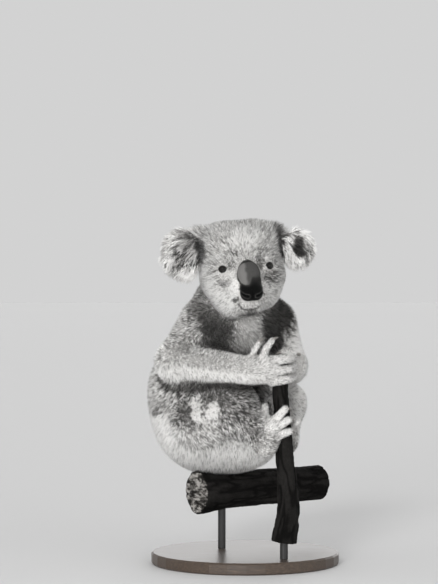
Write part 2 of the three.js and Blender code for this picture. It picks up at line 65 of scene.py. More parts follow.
SEAT_FROM_BASE = point(-6, 26, 134)
base_low, base_high = (np.array(corner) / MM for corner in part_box("stand_base"))
SEAT = np.append((base_low[:2] + base_high[:2]) / 2, base_low[2]) + SEAT_FROM_BASE

LOG = dict(middle=point(-30, 2, -25), heading=33, radius=28, cut_radius=34, near=46, far=190)
BRANCH_POINTS = [
    point(63, -100, -90),
    point(70, -100, -32),
    point(63, -100, 60),
    point(58, -100, 130),
    point(57, -100, 188),
]
BRANCH_RADII = [19, 16.5, 13.5, 12.5, 12.5]

# The trunk's stack of rounded masses: middle, heading of the belly from -Y towards +X, and half sizes.
SPINE = [
    (point(6, -8, 61), 0, point(56, 60, 52)),
    (point(-45, 2, 90), 45, point(92, 99, 91)),
    (point(-54, 2, 135), 42, point(88, 97, 80)),
    (point(-36, 0, 178), 38, point(83, 84, 70)),
    (point(-14, -8, 220), 32, point(76, 74, 70)),
    (point(-8, 4, 262), 24, point(66, 58, 46)),
]
NECK = dict(ends=[point(-8, -2, 272), point(-2, -26, 304)], radii=[56, 54])

HEAD = dict(middle=point(0, -48, 322), yaw=8, roll=-4.5)
EARS = {
    "right": dict(middle=point(-86, 10, 28), half=point(37, 13, 43), yaw=-14),
    "left": dict(middle=point(89, 12, 24), half=point(36, 13, 34), yaw=26),
}
EAR_WEBS = [(point(-56, 12, 43), point(34, 15, 29)), (point(52, 12, 43), point(29, 15, 28))]
# The left eye: the middle of its ball and the way it looks, in the head's own axes, and the ball's radius.
EYE = dict(middle=point(32.9, -40.4, -0.8), looks=point(0.5, -0.86, 0.02), ball=8.1)
NOSE_LEAN = -15

ARMS = {
    "right": ([point(-58, -34, 236), point(-99, -60, 178), point(8, -116, 168)], [38, 31, 22]),
    "left": ([point(52, 24, 236), point(75, -12, 170), point(80, -52, 172)], [38, 26, 19]),
}
LEGS = {
    "right": ([point(-62, -66, 92), point(-14, -92, 110), point(34, -108, 66)], [48, 40, 23]),
    "left": ([point(-6, 34, 82), point(66, -16, 112), point(66, -64, 62)], [54, 34, 21]),
}
SIDES = {"right": -1, "left": 1}

GRIP_CLEAR = 1.05  # how far the middle of a curled digit is from the bark, in its own radii
CLAW_CLEAR = 0.7  # and its claw's tip
CLAW_TURN = 26  # how many degrees further round the branch the tip is
CLAW_DROP = 4


def between(ends, t):
    return ends[0] + t * (ends[1] - ends[0])


def branch_at(height):
    """The branch's axis and radius at a height."""
    above = next((n for n, p in enumerate(BRANCH_POINTS) if n and p[2] >= height), len(BRANCH_POINTS) - 1)
    ends = slice(above - 1, above + 1)
    low, high = BRANCH_POINTS[ends]
    t = (height - low[2]) / (high[2] - low[2])
    return between((low, high), t), between(BRANCH_RADII[ends], t)


def beside_branch(height, angle, clear):
    axis, radius = branch_at(height)
    turn = math.radians(angle)
    return axis + (radius + clear) * point(math.cos(turn), math.sin(turn), 0)


def gripping(radius, heights, angles):
    """A digit that curls round the branch: its path, radius and claw tip."""
    steps = [n / 3 for n in range(4)]
    path = [beside_branch(between(heights, t), between(angles, t), radius * GRIP_CLEAR) for t in steps]
    onward = angles[1] + math.copysign(CLAW_TURN + radius * 2, angles[1] - angles[0])
    return path, radius, beside_branch(heights[1] - CLAW_DROP, onward, radius * CLAW_CLEAR)


def free(radius, points, claw=None):
    return [point(*p) for p in points], radius, claw


HANDS = {
    "right": dict(
        palm=(point(30, -120, 169), point(26, 13, 22)),
        digits=dict(
            first=free(4.7, [(14, -118, 180), (18, -119, 197), (25, -118, 209)], point(33, -110, 216)),
            second=free(5.5, [(30, -121, 184), (36, -122, 201), (44, -120, 212)], point(54, -112, 216)),
            third=gripping(7.2, [182, 187], [-132, -16]),
            fourth=gripping(7.3, [166, 171], [-134, -14]),
            fifth=gripping(7, [152, 156], [-132, -26]),
        ),
    ),
    "left": dict(
        palm=(point(81, -67, 171), point(14, 16, 20)),
        digits=dict(
            first=free(4.7, [(90, -62, 180), (91, -70, 187), (88, -78, 190)], point(82, -84, 190)),
            second=free(5.5, [(76, -60, 184), (70, -62, 192), (61, -68, 193)], point(52, -74, 189)),
            third=gripping(7, [181, 181], [66, 150]),
            fourth=gripping(7, [166, 166], [66, 150]),
            fifth=gripping(6.8, [152, 151], [66, 146]),
        ),
    ),
}
FEET = {
    "right": dict(
        sole=([point(35, -108, 58), point(43, -115, 84)], [19, 15]),
        digits=dict(
            first=free(5.8, [(38, -112, 88), (34, -110, 102), (35, -106, 113)]),
            second=gripping(6.6, [88, 110], [-140, -78]),
            fourth=gripping(6.8, [80, 94], [-140, -66]),
            fifth=gripping(6.4, [69, 77], [-140, -66]),
        ),
    ),
    "left": dict(
        sole=([point(66, -64, 54), point(69, -71, 80)], [18, 14]),
        digits=dict(
            first=free(5.8, [(74, -72, 82), (81, -80, 86), (83, -89, 88)]),
            second=gripping(6.2, [88, 98], [74, 124]),
            fourth=gripping(6.4, [76, 82], [74, 124]),
            fifth=gripping(6, [64, 67], [74, 110]),
        ),
    ),
}

# How the coat grows on each kind of part: how deep it is over the skin, how long and wide a lock is, how much
# skin each lock covers, how far a lock leans in to its clump, how large a clump is, how light the coat is
# (reflectance), and which shares of the clumps are dark and white.
BODY_COAT = dict(depth=6.5, length=4.9, width=0.95, cover=0.98, lean=0.5, clump=2.6, dark=0.42, white=0.3)
LIMB_COAT = BODY_COAT | dict(depth=5.5, length=4.5, width=0.9, clump=2.5)
PAW_COAT = dict(depth=2, length=3.2, width=0.62, cover=0.6, lean=0.4, clump=2, dark=0.36, white=0.3)
HEAD_COAT = dict(depth=4, length=4, width=0.72, cover=0.56, lean=0.4, clump=1.8, dark=0.42, white=0.3)
EAR_COAT = dict(depth=6, length=30, width=1.25, cover=1.9, lean=0.9, clump=5, dark=0.4, white=0.36)
COATS = dict(
    head=HEAD_COAT | dict(tone=0.68),
    neck=BODY_COAT | dict(length=5.4, tone=0.3, white=0.26),
    trunk=BODY_COAT | dict(tone=0.56),
    ear=EAR_COAT | dict(tone=0.56),
    upper=BODY_COAT | dict(tone=0.6),
    forearm=LIMB_COAT | dict(cover=0.92, tone=0.72),
    hand=PAW_COAT | dict(tone=0.7),
    thigh=BODY_COAT | dict(tone=0.36, white=0.32),
    shin=LIMB_COAT | dict(cover=0.94, tone=0.38),
    foot=PAW_COAT | dict(tone=0.8),
)


def kind_of(part):
    return part.split("_")[0]


# ---------------------------------------------------------------- fields: how far points are outside a shape


def unit(v):
    return v / np.maximum(np.linalg.norm(v, axis=-1, keepdims=True), TINY)


def smooth(t):
    t = np.clip(t, 0, 1)
    return t * t * (3 - 2 * t)


def turned(yaw, roll=0.0, pitch=0.0):
    """Turned axes, as the columns of a matrix: about z, then about their own y, then about their own x."""
    turns = [Matrix.Rotation(math.radians(a), 3, axis) for a, axis in ((yaw, "Z"), (roll, "Y"), (pitch, "X"))]
    return np.array(turns[0] @ turns[1] @ turns[2])


def egg(middle, half, turn=np.eye(3)):
    def field(p):
        local = (p - middle) @ turn
        near = np.linalg.norm(local / half, axis=1)
        slope = np.maximum(np.linalg.norm(local / half**2, axis=1), TINY)
        return np.where(near < 0.05, (near - 1) * half.min(), near * (near - 1) / slope)

    return field


def taper(start, end, start_radius, end_radius):
    along = end - start

    def field(p):
        t = np.clip((p - start) @ along / (along @ along), 0, 1)
        gap = np.linalg.norm(p - start - t[:, None] * along, axis=1)
        return gap - start_radius - t * (end_radius - start_radius)

    return field


def soft_min(a, b, reach):
    near = np.maximum(reach - np.abs(a - b), 0) / reach
    return np.minimum(a, b) - near * near * reach / 4


def soft_max(a, b, reach):
    return -soft_min(-a, -b, reach)


def blend(reach, *fields):
    """The union of several shapes, with a fillet of about `reach` where they meet."""

    def field(p):
        d = fields[0](p)
        for other in fields[1:]:
            d = soft_min(d, other(p), reach)
        return d

    return field


def union(*fields):
    return lambda p: np.min([field(p) for field in fields], axis=0)


def chain(points, radii):
    return union(*(taper(*pair, *ends) for pair, ends in zip(zip(points, points[1:]), zip(radii, radii[1:]))))


SLOPE_STEP = 0.4
SETTLE_ROUNDS = 3


def slope_of(field, p):
    """The field's gradient at each point."""
    slope = np.empty_like(p)
    for axis, shift in enumerate(SLOPE_STEP * np.eye(3)):
        slope[:, axis] = (field(p + shift) - field(p - shift)) / (2 * SLOPE_STEP)
    return slope


def settle(p, field, most):
    """The points moved on to the surface, each by at most `most` a round."""
    for _ in range(SETTLE_ROUNDS):
        slope = slope_of(field, p)
        move = -field(p)[:, None] * slope / np.maximum((slope**2).sum(1, keepdims=True), 0.2)
        size = np.linalg.norm(move, axis=1, keepdims=True)
        p = p + move * np.minimum(1, most / np.maximum(size, TINY))
    return p


# ---------------------------------------------------------------- the head

# Head points are given from the middle of the head: x to its left, y to the back, z up.
head_turn = turned(HEAD["yaw"], HEAD["roll"])


def in_head(*xyz):
    """Head points, as x, y and z or as a list of points, from the seat."""
    local = np.array(xyz[0] if len(xyz) == 1 else xyz, float)
    return local @ head_turn.T + HEAD["middle"]


def to_head(p):
    return (p - HEAD["middle"]) @ head_turn


def head_egg(x, y, z, half, shed=0.0, turn=np.eye(3)):
    return egg(in_head(x, y, z), point(*half) - shed, head_turn @ turn)


def eye_frame(sign):
    """The eye's middle and its axes: sideways along the lids, up, and out of the head."""
    mirror = point(sign, 1, 1)
    out = unit(head_turn @ (EYE["looks"] * mirror))
    sideways = unit(np.cross(head_turn @ point(0, 0, 1), out))
    return in_head(*(EYE["middle"] * mirror)), np.stack([sideways, np.cross(out, sideways), out])


EYE_FRAMES = {side: eye_frame(sign) for side, sign in SIDES.items()}


def from_eyes(p):
    """The points along each eye's own axes."""
    return [(p - middle) @ axes.T for middle, axes in EYE_FRAMES.values()]


def in_lids(local, half):
    """How far each point is from the middle of the lids' opening, across it: 1 at its edge."""
    return np.linalg.norm(local[:, :2] / half, axis=1)


def laid_on(surface, line):
    """A line of head points, moved on to a surface of the head."""
    return list(settle(in_head(line), surface, 20))


LID = dict(thick=1.0, half=point(5.6, 4.7), cut=3.0, raised=2.4, reach=24, fade=14, clear=1.4)
LID_CREASE = [(42, -40, -2.5), (48, -34, -5), (54, -25, -8)]
MOUTH = [
    (-16, -56, -54.5),
    (-12, -57, -59),
    (-7, -60, -62.5),
    (1, -61, -63),
    (8, -60, -62),
    (14, -56, -58.5),
]
MOUTH_RADII = [0.4, 1.0, 1.6, 1.8, 1.5, 0.5]
LIP_GROOVE = [(0, -68, -47), (0, -65, -60)]
NOSE_OFFSET = 1.5  # the nose's lower half is a little to the left of the head's middle


def nose_shape(p):
    """The bare leathery nose: a long pad from between the eyes down to the upper lip."""
    lean = turned(0, 0, NOSE_LEAN)
    top = head_egg(1, -61, -10, (17.2, 12, 20), turn=lean)
    middle = head_egg(NOSE_OFFSET, -66, -28.5, (14.5, 13, 22), turn=lean)
    wing_places = (NOSE_OFFSET + 8 * sign for sign in SIDES.values())
    wings = union(*(head_egg(x, -68.5, -38.5, (9.2, 11, 11.5), turn=lean) for x in wing_places))
    return blend(6, top, middle, wings)(p)


def skull_skin():
    cheeks = [
        head_egg(sign * x, y, z, half, 4.5)
        for sign in SIDES.values()
        for x, y, z, half in ((30, -6, -14, (37, 43, 38)), (19, -17, -42, (34, 35, 27)))
    ]
    return blend(
        14,
        head_egg(0, 12, 20, (60, 60, 55), 5),
        *(head_egg(sign * 29, 10, 33, (37, 42, 41), 5) for sign in SIDES.values()),
        *cheeks,
        head_egg(0, -38, -6, (19, 27, 27), 2.5),
        head_egg(0, -46, -32, (29, 31, 28), 2.6),
        head_egg(-20, -22, -52, (24, 28, 25), 4),
    )


def lid_creases(surface):
    """The fold that runs down and out from each eye's outer corner, laid on a surface of the head."""
    return [laid_on(surface, [(sign * x, y, z) for x, y, z in LID_CREASE]) for sign in SIDES.values()]


def head_skin():
    """The skull and jaw, with webs of muscle to the ears, eyelids, lips and a furrow over the lips."""
    webs = [head_egg(*middle, half, 5.5) for middle, half in EAR_WEBS]
    chin, lip = head_egg(0, -41, -56, (23, 26, 17), 2.8), head_egg(-1, -58, -55.5, (13, 9.5, 6.5))
    jaw = blend(4, blend(6, blend(8, skull_skin(), *webs), chin), lip)
    lips = chain(laid_on(jaw, MOUTH), MOUTH_RADII)
    furrow = chain(laid_on(jaw, LIP_GROOVE), [0.9, 0.9])
    creases = union(*(chain(crease, [1.3, 1.4, 0.6]) for crease in lid_creases(jaw)))

    def field(p):
        d = soft_max(jaw(p), -lips(p), 1.6)
        d = soft_max(d, -furrow(p), 1.4)
        d = soft_max(d, -creases(p), 1.4)
        for local in from_eyes(p):
            ball = np.linalg.norm(local, axis=1)
            d = d - LID["raised"] * smooth((LID["reach"] - ball) / LID["fade"])
            d = soft_min(d, ball - EYE["ball"] - LID["thick"], 3)
            opening = (in_lids(local, LID["half"]) - 1) * LID["half"].min()
            d = soft_max(d, -np.maximum(opening, LID["cut"] - local[:, 2]), 0.9)
        return d

    return field


EAR_SKIN = dict(shed=point(9, 6, 9), hollow_share=0.62, hollow_depth=4.6, blend=8)


def ear_skin(side):
    """The ear's own flesh: a thin round leaf on a short root, hollow in front."""
    (x, y, z), turn = EARS[side]["middle"], turned(EARS[side]["yaw"])
    half = EARS[side]["half"] - EAR_SKIN["shed"]
    front = turn @ point(0, -half[1], 0)
    share = EAR_SKIN["hollow_share"]
    leaf = head_egg(x, y, z, half, turn=turn)
    dish = (half[0] * share, EAR_SKIN["hollow_depth"], half[2] * share)
    hollow = head_egg(x + front[0], y + front[1], z + front[2], dish, turn=turn)
    sign = SIDES[side]
    root = taper(in_head(sign * 40, 10, 31), in_head(sign * 64, 10, 33), 18, 12)
    whole = blend(EAR_SKIN["blend"], leaf, root)
    return lambda p: soft_max(whole(p), -hollow(p), 2)


# ---------------------------------------------------------------- the whole skin


def limb(joints, radii, shed, other_shed):
    """The two lengths of a limb."""
    upper = taper(joints[0], joints[1], radii[0] - shed, radii[1] - shed)
    lower = taper(joints[1], joints[2], radii[1] - other_shed, radii[2] - other_shed)
    return upper, lower


def digit_radii(path, radius, shed):
    return [radius * (1.12 - 0.27 * n / (len(path) - 1)) - shed for n in range(len(path))]


DIGIT_SHED = 1.3


def paw(middle, digits):
    each = [chain(path, digit_radii(path, radius, DIGIT_SHED)) for path, radius, _ in digits.values()]
    return union(*(blend(6, middle, digit) for digit in each))


def smaller(half_or_radii, kind):
    """Half sizes or radii of the coat's outer shape, less the depth of the coat there."""
    return np.array(half_or_radii, float) - COATS[kind]["depth"]


parts = dict(
    head=head_skin(),
    neck=taper(*NECK["ends"], *smaller(NECK["radii"], "neck")),
    trunk=blend(26, *(egg(middle, smaller(half, "trunk"), turned(yaw)) for middle, yaw, half in SPINE)),
)
JOINS = [("trunk", "neck", 26), ("neck", "head", 16)]
for side in SIDES:
    upper, fore, hand, thigh, shin, foot = (
        f"{kind}_{side}" for kind in ("upper_arm", "forearm", "hand", "thigh", "shin", "foot")
    )
    palm_middle, palm_half = HANDS[side]["palm"]
    sole_ends, sole_radii = FEET[side]["sole"]
    palm, sole = egg(palm_middle, smaller(palm_half, "hand")), taper(*sole_ends, *smaller(sole_radii, "foot"))
    parts[f"ear_{side}"] = ear_skin(side)
    parts[upper], parts[fore] = limb(*ARMS[side], COATS["upper"]["depth"], COATS["forearm"]["depth"])
    parts[thigh], parts[shin] = limb(*LEGS[side], COATS["thigh"]["depth"], COATS["shin"]["depth"])
    parts[hand] = paw(palm, HANDS[side]["digits"])
    parts[foot] = paw(sole, FEET[side]["digits"])
    JOINS += [
        ("head", f"ear_{side}", 6),
        ("trunk", upper, 24),
        ("neck", upper, 24),
        (upper, fore, 18),
        (fore, hand, 12),
        ("trunk", thigh, 7),
        (thigh, shin, 14),
        (shin, foot, 12),
    ]
PART_NAMES = list(parts)


def part_distances(p):
    return {name: field(p) for name, field in parts.items()}


def skin_field(p):
    d = part_distances(p)
    return np.min([soft_min(d[a], d[b], reach) for a, b, reach in JOINS], axis=0)


# ---------------------------------------------------------------- from a field to a mesh

CORNERS = np.array([(n & 1, n >> 1 & 1, n >> 2) for n in range(8)])
EDGES = [(a, a | bit) for a in range(8) for bit in (1, 2, 4) if not a & bit]


def grid_values(field, low, counts, cell):
    """The field on a grid. Far from the surface, the nearest point of a coarser grid stands in for it."""
    coarse, reach = 4, 5
    wide = -(-counts // coarse) + 1
    axes = [low[i] + cell * coarse * np.arange(wide[i]) for i in range(3)]
    nodes = np.stack(np.meshgrid(*axes, indexing="ij"), -1).reshape(-1, 3)
    rough = field(nodes).reshape(wide)
    values = rough
    for axis in range(3):
        near = np.minimum((np.arange(counts[axis]) + coarse // 2) // coarse, wide[axis] - 1)
        values = np.take(values, near, axis)
    close = np.argwhere(np.abs(values) < reach * cell)
    values = values.copy()
    values[tuple(close.T)] = field(low + cell * close)
    return values


def surface_of(field, low, high, cell):
    """Vertices and quads of the field's surface: one vertex for each grid cell that it crosses."""
    low = np.asarray(low, float)
    counts = np.ceil((np.asarray(high) - low) / cell).astype(int) + 1
    values = grid_values(field, low, counts, cell)
    inside = values < 0
    corner_in = [inside[tuple(slice(c, n - 1 + c) for c, n in zip(corner, counts))] for corner in CORNERS]
    mixed = np.any(corner_in, axis=0) & ~np.all(corner_in, axis=0)
    cells = np.argwhere(mixed)
    number = np.full(mixed.shape, -1)
    number[tuple(cells.T)] = np.arange(len(cells))
    at_corner = np.stack([values[tuple((cells + corner).T)] for corner in CORNERS], 1)
    total, hits = np.zeros((len(cells), 3)), np.zeros(len(cells))
    for a, b in EDGES:
        va, vb = at_corner[:, a], at_corner[:, b]
        crossed = (va < 0) != (vb < 0)
        t = np.where(crossed, va / np.where(crossed, va - vb, 1), 0)
        total += crossed[:, None] * (CORNERS[a] + t[:, None] * (CORNERS[b] - CORNERS[a]))
        hits += crossed
    vertices = low + cell * (cells + total / hits[:, None])

    quads = []
    for axis in range(3):
        u, w = (axis + 1) % 3, (axis + 2) % 3
        step = np.eye(3, dtype=int)
        trim = [slice(1, n - 1) for n in counts]
        ahead = [slice(s.start + step[axis][i], s.stop + step[axis][i]) for i, s in enumerate(trim)]
        here_in, next_in = inside[tuple(trim)], inside[tuple(ahead)]
        crossing = np.argwhere(here_in != next_in) + 1
        flip = ~inside[tuple(crossing.T)]
        around = ((1, 1), (0, 1), (0, 0), (1, 0))
        quad = np.stack([number[tuple((crossing - du * step[u] - dw * step[w]).T)] for du, dw in around], 1)
        quad[flip] = quad[flip][:, ::-1]
        quads.append(quad)
    return settle(vertices, field, cell / 2), np.concatenate(quads)


def add_object(name, data):
    thing = bpy.data.objects.new(name, data)
    bpy.context.scene.collection.objects.link(thing)
    return thing


def add_values(mesh, name, values):
    """Puts a value on each vertex, which a material can read by its name."""
    mesh.attributes.new(name, "FLOAT", "POINT").data.foreach_set("value", values.astype(np.float32))


def add_mesh(name, vertices, faces, material, tones, uv=None):
    """A mesh object from points in millimetres from the seat, and faces that all have as many corners."""
    count, corners = faces.shape
    mesh = bpy.data.meshes.new(name)
    mesh.vertices.add(len(vertices))
    mesh.vertices.foreach_set("co", ((vertices + SEAT) * MM).astype(np.float32).ravel())
    mesh.loops.add(count * corners)
    mesh.loops.foreach_set("vertex_index", faces.astype(np.int32).ravel())
    mesh.polygons.add(count)
    mesh.polygons.foreach_set("loop_start", np.arange(0, count * corners, corners, dtype=np.int32))
    mesh.polygons.foreach_set("use_smooth", np.ones(count, bool))
    add_values(mesh, "tone", tones)
    if uv is not None:
        layer = mesh.uv_layers.new(name="OFBake")
        layer.data.foreach_set("uv", uv[faces.ravel()].astype(np.float32).ravel())
    mesh.update(calc_edges=True)
    mesh.materials.append(material)
    return add_object(name, mesh)


def dress(piece, slot, *nodes):
    """Puts a piece on the body and hides the CAD nodes that it stands for."""
    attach(piece, "root")
    if nodes:
        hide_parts(*nodes)


# ---------------------------------------------------------------- even noise

HASH = (73856093, 19349663, 83492791)


def lattice(cells, seed):
    """A random number from 0 to 1 for each whole-numbered cell."""
    with np.errstate(over="ignore"):
        h = cells[..., 0] * HASH[0] ^ cells[..., 1] * HASH[1] ^ cells[..., 2] * HASH[2]
        h = (h + seed * 7919) & 0xFFFFFFFF
        for turn in (0x85EBCA6B, 0xC2B2AE35):
            h = ((h ^ (h >> 15)) * turn) & 0xFFFFFFFF
    return (h ^ (h >> 16)) / 0xFFFFFFFF


def noise(p, size, seed):
    """Smooth noise from 0 to 1, whose lumps are about `size` across."""
    cell = np.floor(p / size).astype(np.int64)
    t = smooth(p / size - cell)
    total = 0
    for corner in CORNERS:
        weight = np.prod(np.where(corner, t, 1 - t), axis=1)
        total = total + weight * lattice(cell + corner, seed)
    return total


def noise_vector(p, size, seed):
    return np.stack([noise(p, size, seed + n) for n in range(3)], 1) * 2 - 1


def clumps(p, size, seed):
    """The nearest of a set of scattered points about `size` apart, and a random number for it."""
    cell = np.floor(p / size).astype(np.int64)
    best, spot, mark = np.full(len(p), np.inf), np.zeros_like(p), np.zeros(len(p))
    for shift in np.ndindex(3, 3, 3):
        other = cell + np.array(shift) - 1
        centre = (other + np.stack([lattice(other, seed + n) for n in range(3)], 1)) * size
        gap = ((p - centre) ** 2).sum(1)
        closer = gap < best
        best[closer], spot[closer] = gap[closer], centre[closer]
        mark[closer] = lattice(other, seed + 3)[closer]
    return spot, mark


# ---------------------------------------------------------------- markings and painted shade

# Soft patches of the coat, some of them painted shade: middle and half sizes, how light it is there, and how
# strongly. Those of the head and the ears are from the middle of the head, and the others from the seat.
BIB = (10, -84, 226), (20, 44, 32)
PATCHES = {
    ("trunk", "neck", "upper"): [
        ((10, -70, 150), (60, 40, 50), 0.12, 0.9),  # belly, in the shade of the arms
        ((-34, -80, 240), (27, 46, 46), 0.07, 1.0),  # shaded right breast
        ((57, -36, 236), (27, 90, 54), 0.07, 1.0),  # shaded left breast
        ((-56, -56, 262), (21, 50, 24), 0.14, 0.8),  # dark fur on the neck beside the cheek, and painted shade under the head
        (*BIB, 0.6, 1.0),  # bib
        ((12, -70, 240), (18, 44, 13), 0.78, 0.7),
        ((14, -70, 186), (18, 40, 16), 0.3, 0.8),  # streak below the bib
        ((-128, -20, 130), (34, 90, 60), 0.64, 0.8),  # right flank
        ((-40, 0, 0), (150, 150, 64), 1.0, 1.0),  # rump and underside
        ((-40, 0, 0), (160, 160, 90), 1.0, 0.5),
        ((-128, -30, 66), (34, 70, 34), 1.0, 1.0),  # pale low flank
        ((-40, 0, -6), (150, 150, 24), 0.55, 0.8),  # where it sits
        ((-129, -40, 102), (7, 40, 8), 0.2, 0.8),  # dark spot on the flank
        ((90, 0, 220), (11, 60, 80), 0.75, 0.85),  # pale outside of the left shoulder
    ],
    ("upper", "forearm"): [
        ((84, -20, 170), (30, 60, 60), 1.0, 0.9),  # left arm
        ((-104, -60, 178), (26, 40, 30), 0.7, 0.7),  # right elbow
    ],
    ("thigh", "shin"): [
        ((76, -20, 100), (34, 70, 70), 1.0, 0.9),  # left leg
        ((-67, -96, 108), (7, 60, 20), 1.0, 1.0),  # white blotches of the right thigh
        ((-45, -100, 104), (12, 60, 15), 1.0, 1.0),
        ((-52, -100, 92), (16, 60, 7), 0.85, 0.9),
        ((-20, -100, 84), (6, 60, 5), 0.7, 0.7),
        ((-60, -60, 34), (70, 90, 20), 0.75, 0.8),  # pale lower edge of the thigh
    ],
    ("head", "ear"): [
        ((6, -40, 44), (24, 34, 18), 0.92, 0.75),  # forehead
        ((0, 0, 76), (46, 50, 14), 0.6, 0.5),  # crown
        ((-17, -60, 22), (9, 22, 9), 0.34, 0.6),  # darker patches over the nose
        ((24, -60, 21), (12, 22, 8), 0.3, 0.6),
        ((23, -56, 7), (7, 22, 11), 0.22, 0.7),  # beside the left eye
        ((-23, -56, 7), (7, 22, 8), 0.42, 0.6),
        ((36, -55, 13), (5, 20, 3.5), 0.97, 0.9),  # pale spot over the left eye
        ((-36, -30, -36), (28, 50, 32), 0.97, 1.0),  # cheeks
        ((36, -30, -46), (24, 50, 28), 0.84, 0.9),
        ((-38, -44, -18), (17, 26, 13), 0.56, 0.6),
        ((-36, -44, -21), (10, 26, 6), 0.46, 0.5),  # under the eyes: painted shade below the fold of the lids
        ((37, -46, -18), (15, 26, 13), 0.46, 0.6),
        ((38, -46, -16), (10, 26, 6), 0.34, 0.6),
        ((0, -60, -54), (24, 26, 12), 0.7, 0.9),  # lips
        ((4, -50, -77), (26, 30, 11), 0.05, 1.0),  # painted shade under the chin
        ((-20.5, -56, -47.5), (5, 20, 3.4), 0.2, 0.9),  # blotch beside the mouth
        ((22, -62, -42), (2.2, 20, 2), 0.08, 0.8),
        ((-60, 0, 30), (8, 40, 20), 0.05, 0.95),  # dark roots of the ears: dark fur, and painted shade where they meet the head
        ((60, 0, 36), (8, 40, 20), 0.05, 0.95),
        ((66, 0, 60), (10, 30, 6), 0.3, 0.6),
        ((-76, 0, -2), (24, 40, 15), 0.97, 1.0),  # fluff low in the ears
        ((75, 0, 0), (13, 40, 18), 0.82, 1.0),
        ((94, 0, 25), (11, 40, 16), 0.04, 1.0),  # the dark inside of the left ear: dark fur, and painted shade in its hollow
        ((96, 0, 48), (24, 40, 6), 0.8, 0.9),  # its pale upper edge
        ((-84, 0, 30), (20, 40, 20), 0.28, 0.7),  # streaked middle of the right ear
        ((-106, 0, 44), (8, 40, 16), 0.9, 0.7),  # and its pale outer edge
    ],
}
LIP_EDGE = 1.6  # how far the bare dark lips go from the mouth
lip_field = chain(laid_on(parts["head"], MOUTH), [-1.2, -0.5, 0, 0, -0.3, -1.2])
lid_crease_field = union(*(chain(crease, [0.0] * len(crease)) for crease in lid_creases(parts["head"])))
EYE_RING = dict(inner=6.5, outer=10, tone=0.74)
WHITE_UNDERSIDES = {"upper": 1.0, "forearm": 1.0, "thigh": 0.7, "shin": 0.5}
CREASE = dict(depth=0.45, wide=0.3, low=66, rise=24)  # the dark line between thigh and trunk, painted shade in their crease
ARM_SHADE = dict(near=13, far=24, depth=0.88)  # the shade that the right forearm throws on what is below it


def patched(tone, local, patches):
    for middle, half, colour, strength in patches:
        near = np.linalg.norm((local - middle) / half, axis=1)
        tone = tone + (colour - tone) * strength * smooth((1.25 - near) / 0.5)
    return tone


def coat_weights(p):
    """How much each part of the body has a say at each point: (points, parts)."""
    d = np.stack(list(part_distances(p).values()), 1)
    w = np.exp(-(d - d.min(1, keepdims=True)) / 5)
    return w / w.sum(1, keepdims=True)


def of_coat(weights, key):
    return weights @ np.array([COATS[kind_of(name)][key] for name in PART_NAMES])


def share_of(weights, *kinds):
    return weights[:, [kind_of(name) in kinds for name in PART_NAMES]].sum(1)


def coat_tone(p, normals, weights):
    """How light the coat is at each point, painted shade included."""
    tone = plain = of_coat(weights, "tone")
    front = smooth((0.4 - normals @ head_turn[:, 1]) / 0.4)  # the head's markings are on its face only
    for kinds, patches in PATCHES.items():
        on_head = "head" in kinds
        if on_head:
            rough = (2 + 5 * share_of(weights, "ear"))[:, None]
            place = to_head(p + rough * noise_vector(p, 7, 50) + 1.4 * noise_vector(p, 2, 54))
        else:
            place = p + 4 * noise_vector(p, 12, 40) + 6 * noise_vector(p, 3.2, 44)
        share = share_of(weights, *kinds) * (front if on_head else 1)
        tone = tone + share * (patched(plain if on_head else tone, place, patches) - tone)
    under = smooth((0.05 - normals[:, 2]) / 0.5)  # where the limbs face down
    for kind, white in WHITE_UNDERSIDES.items():
        tone = tone + (white - tone) * share_of(weights, kind) * under
    # Painted shade in the crease where thigh and trunk meet.
    apart = np.abs(share_of(weights, "thigh") - share_of(weights, "trunk"))
    meeting = (share_of(weights, "thigh", "trunk") > 0.85) * smooth(1 - apart / CREASE["wide"])
    tone = tone * (1 - CREASE["depth"] * meeting * smooth((p[:, 2] - CREASE["low"]) / CREASE["rise"]))
    shaded = smooth((ARM_SHADE["far"] - parts["forearm_right"](p)) / (ARM_SHADE["far"] - ARM_SHADE["near"]))
    tone = tone * (1 - ARM_SHADE["depth"] * (share_of(weights, "thigh", "shin", "trunk") * shaded))
    for middle, _ in EYE_FRAMES.values():
        gap = np.linalg.norm(p - middle, axis=1)
        ring = smooth((EYE_RING["outer"] - gap) / (EYE_RING["outer"] - EYE_RING["inner"]))
        tone = tone + (EYE_RING["tone"] - tone) * ring
    # Painted shade along the fold that runs down from each eye's outer corner.
    tone = tone * (1 - 0.4 * smooth(1 - lid_crease_field(p) / 3.4))
    # Darker towards the mouth line: the lips' dark skin, and painted shade in the mouth's groove.
    return tone * (1 - 0.9 * smooth((4 - lip_field(p)) / 2.6))


# ---------------------------------------------------------------- materials


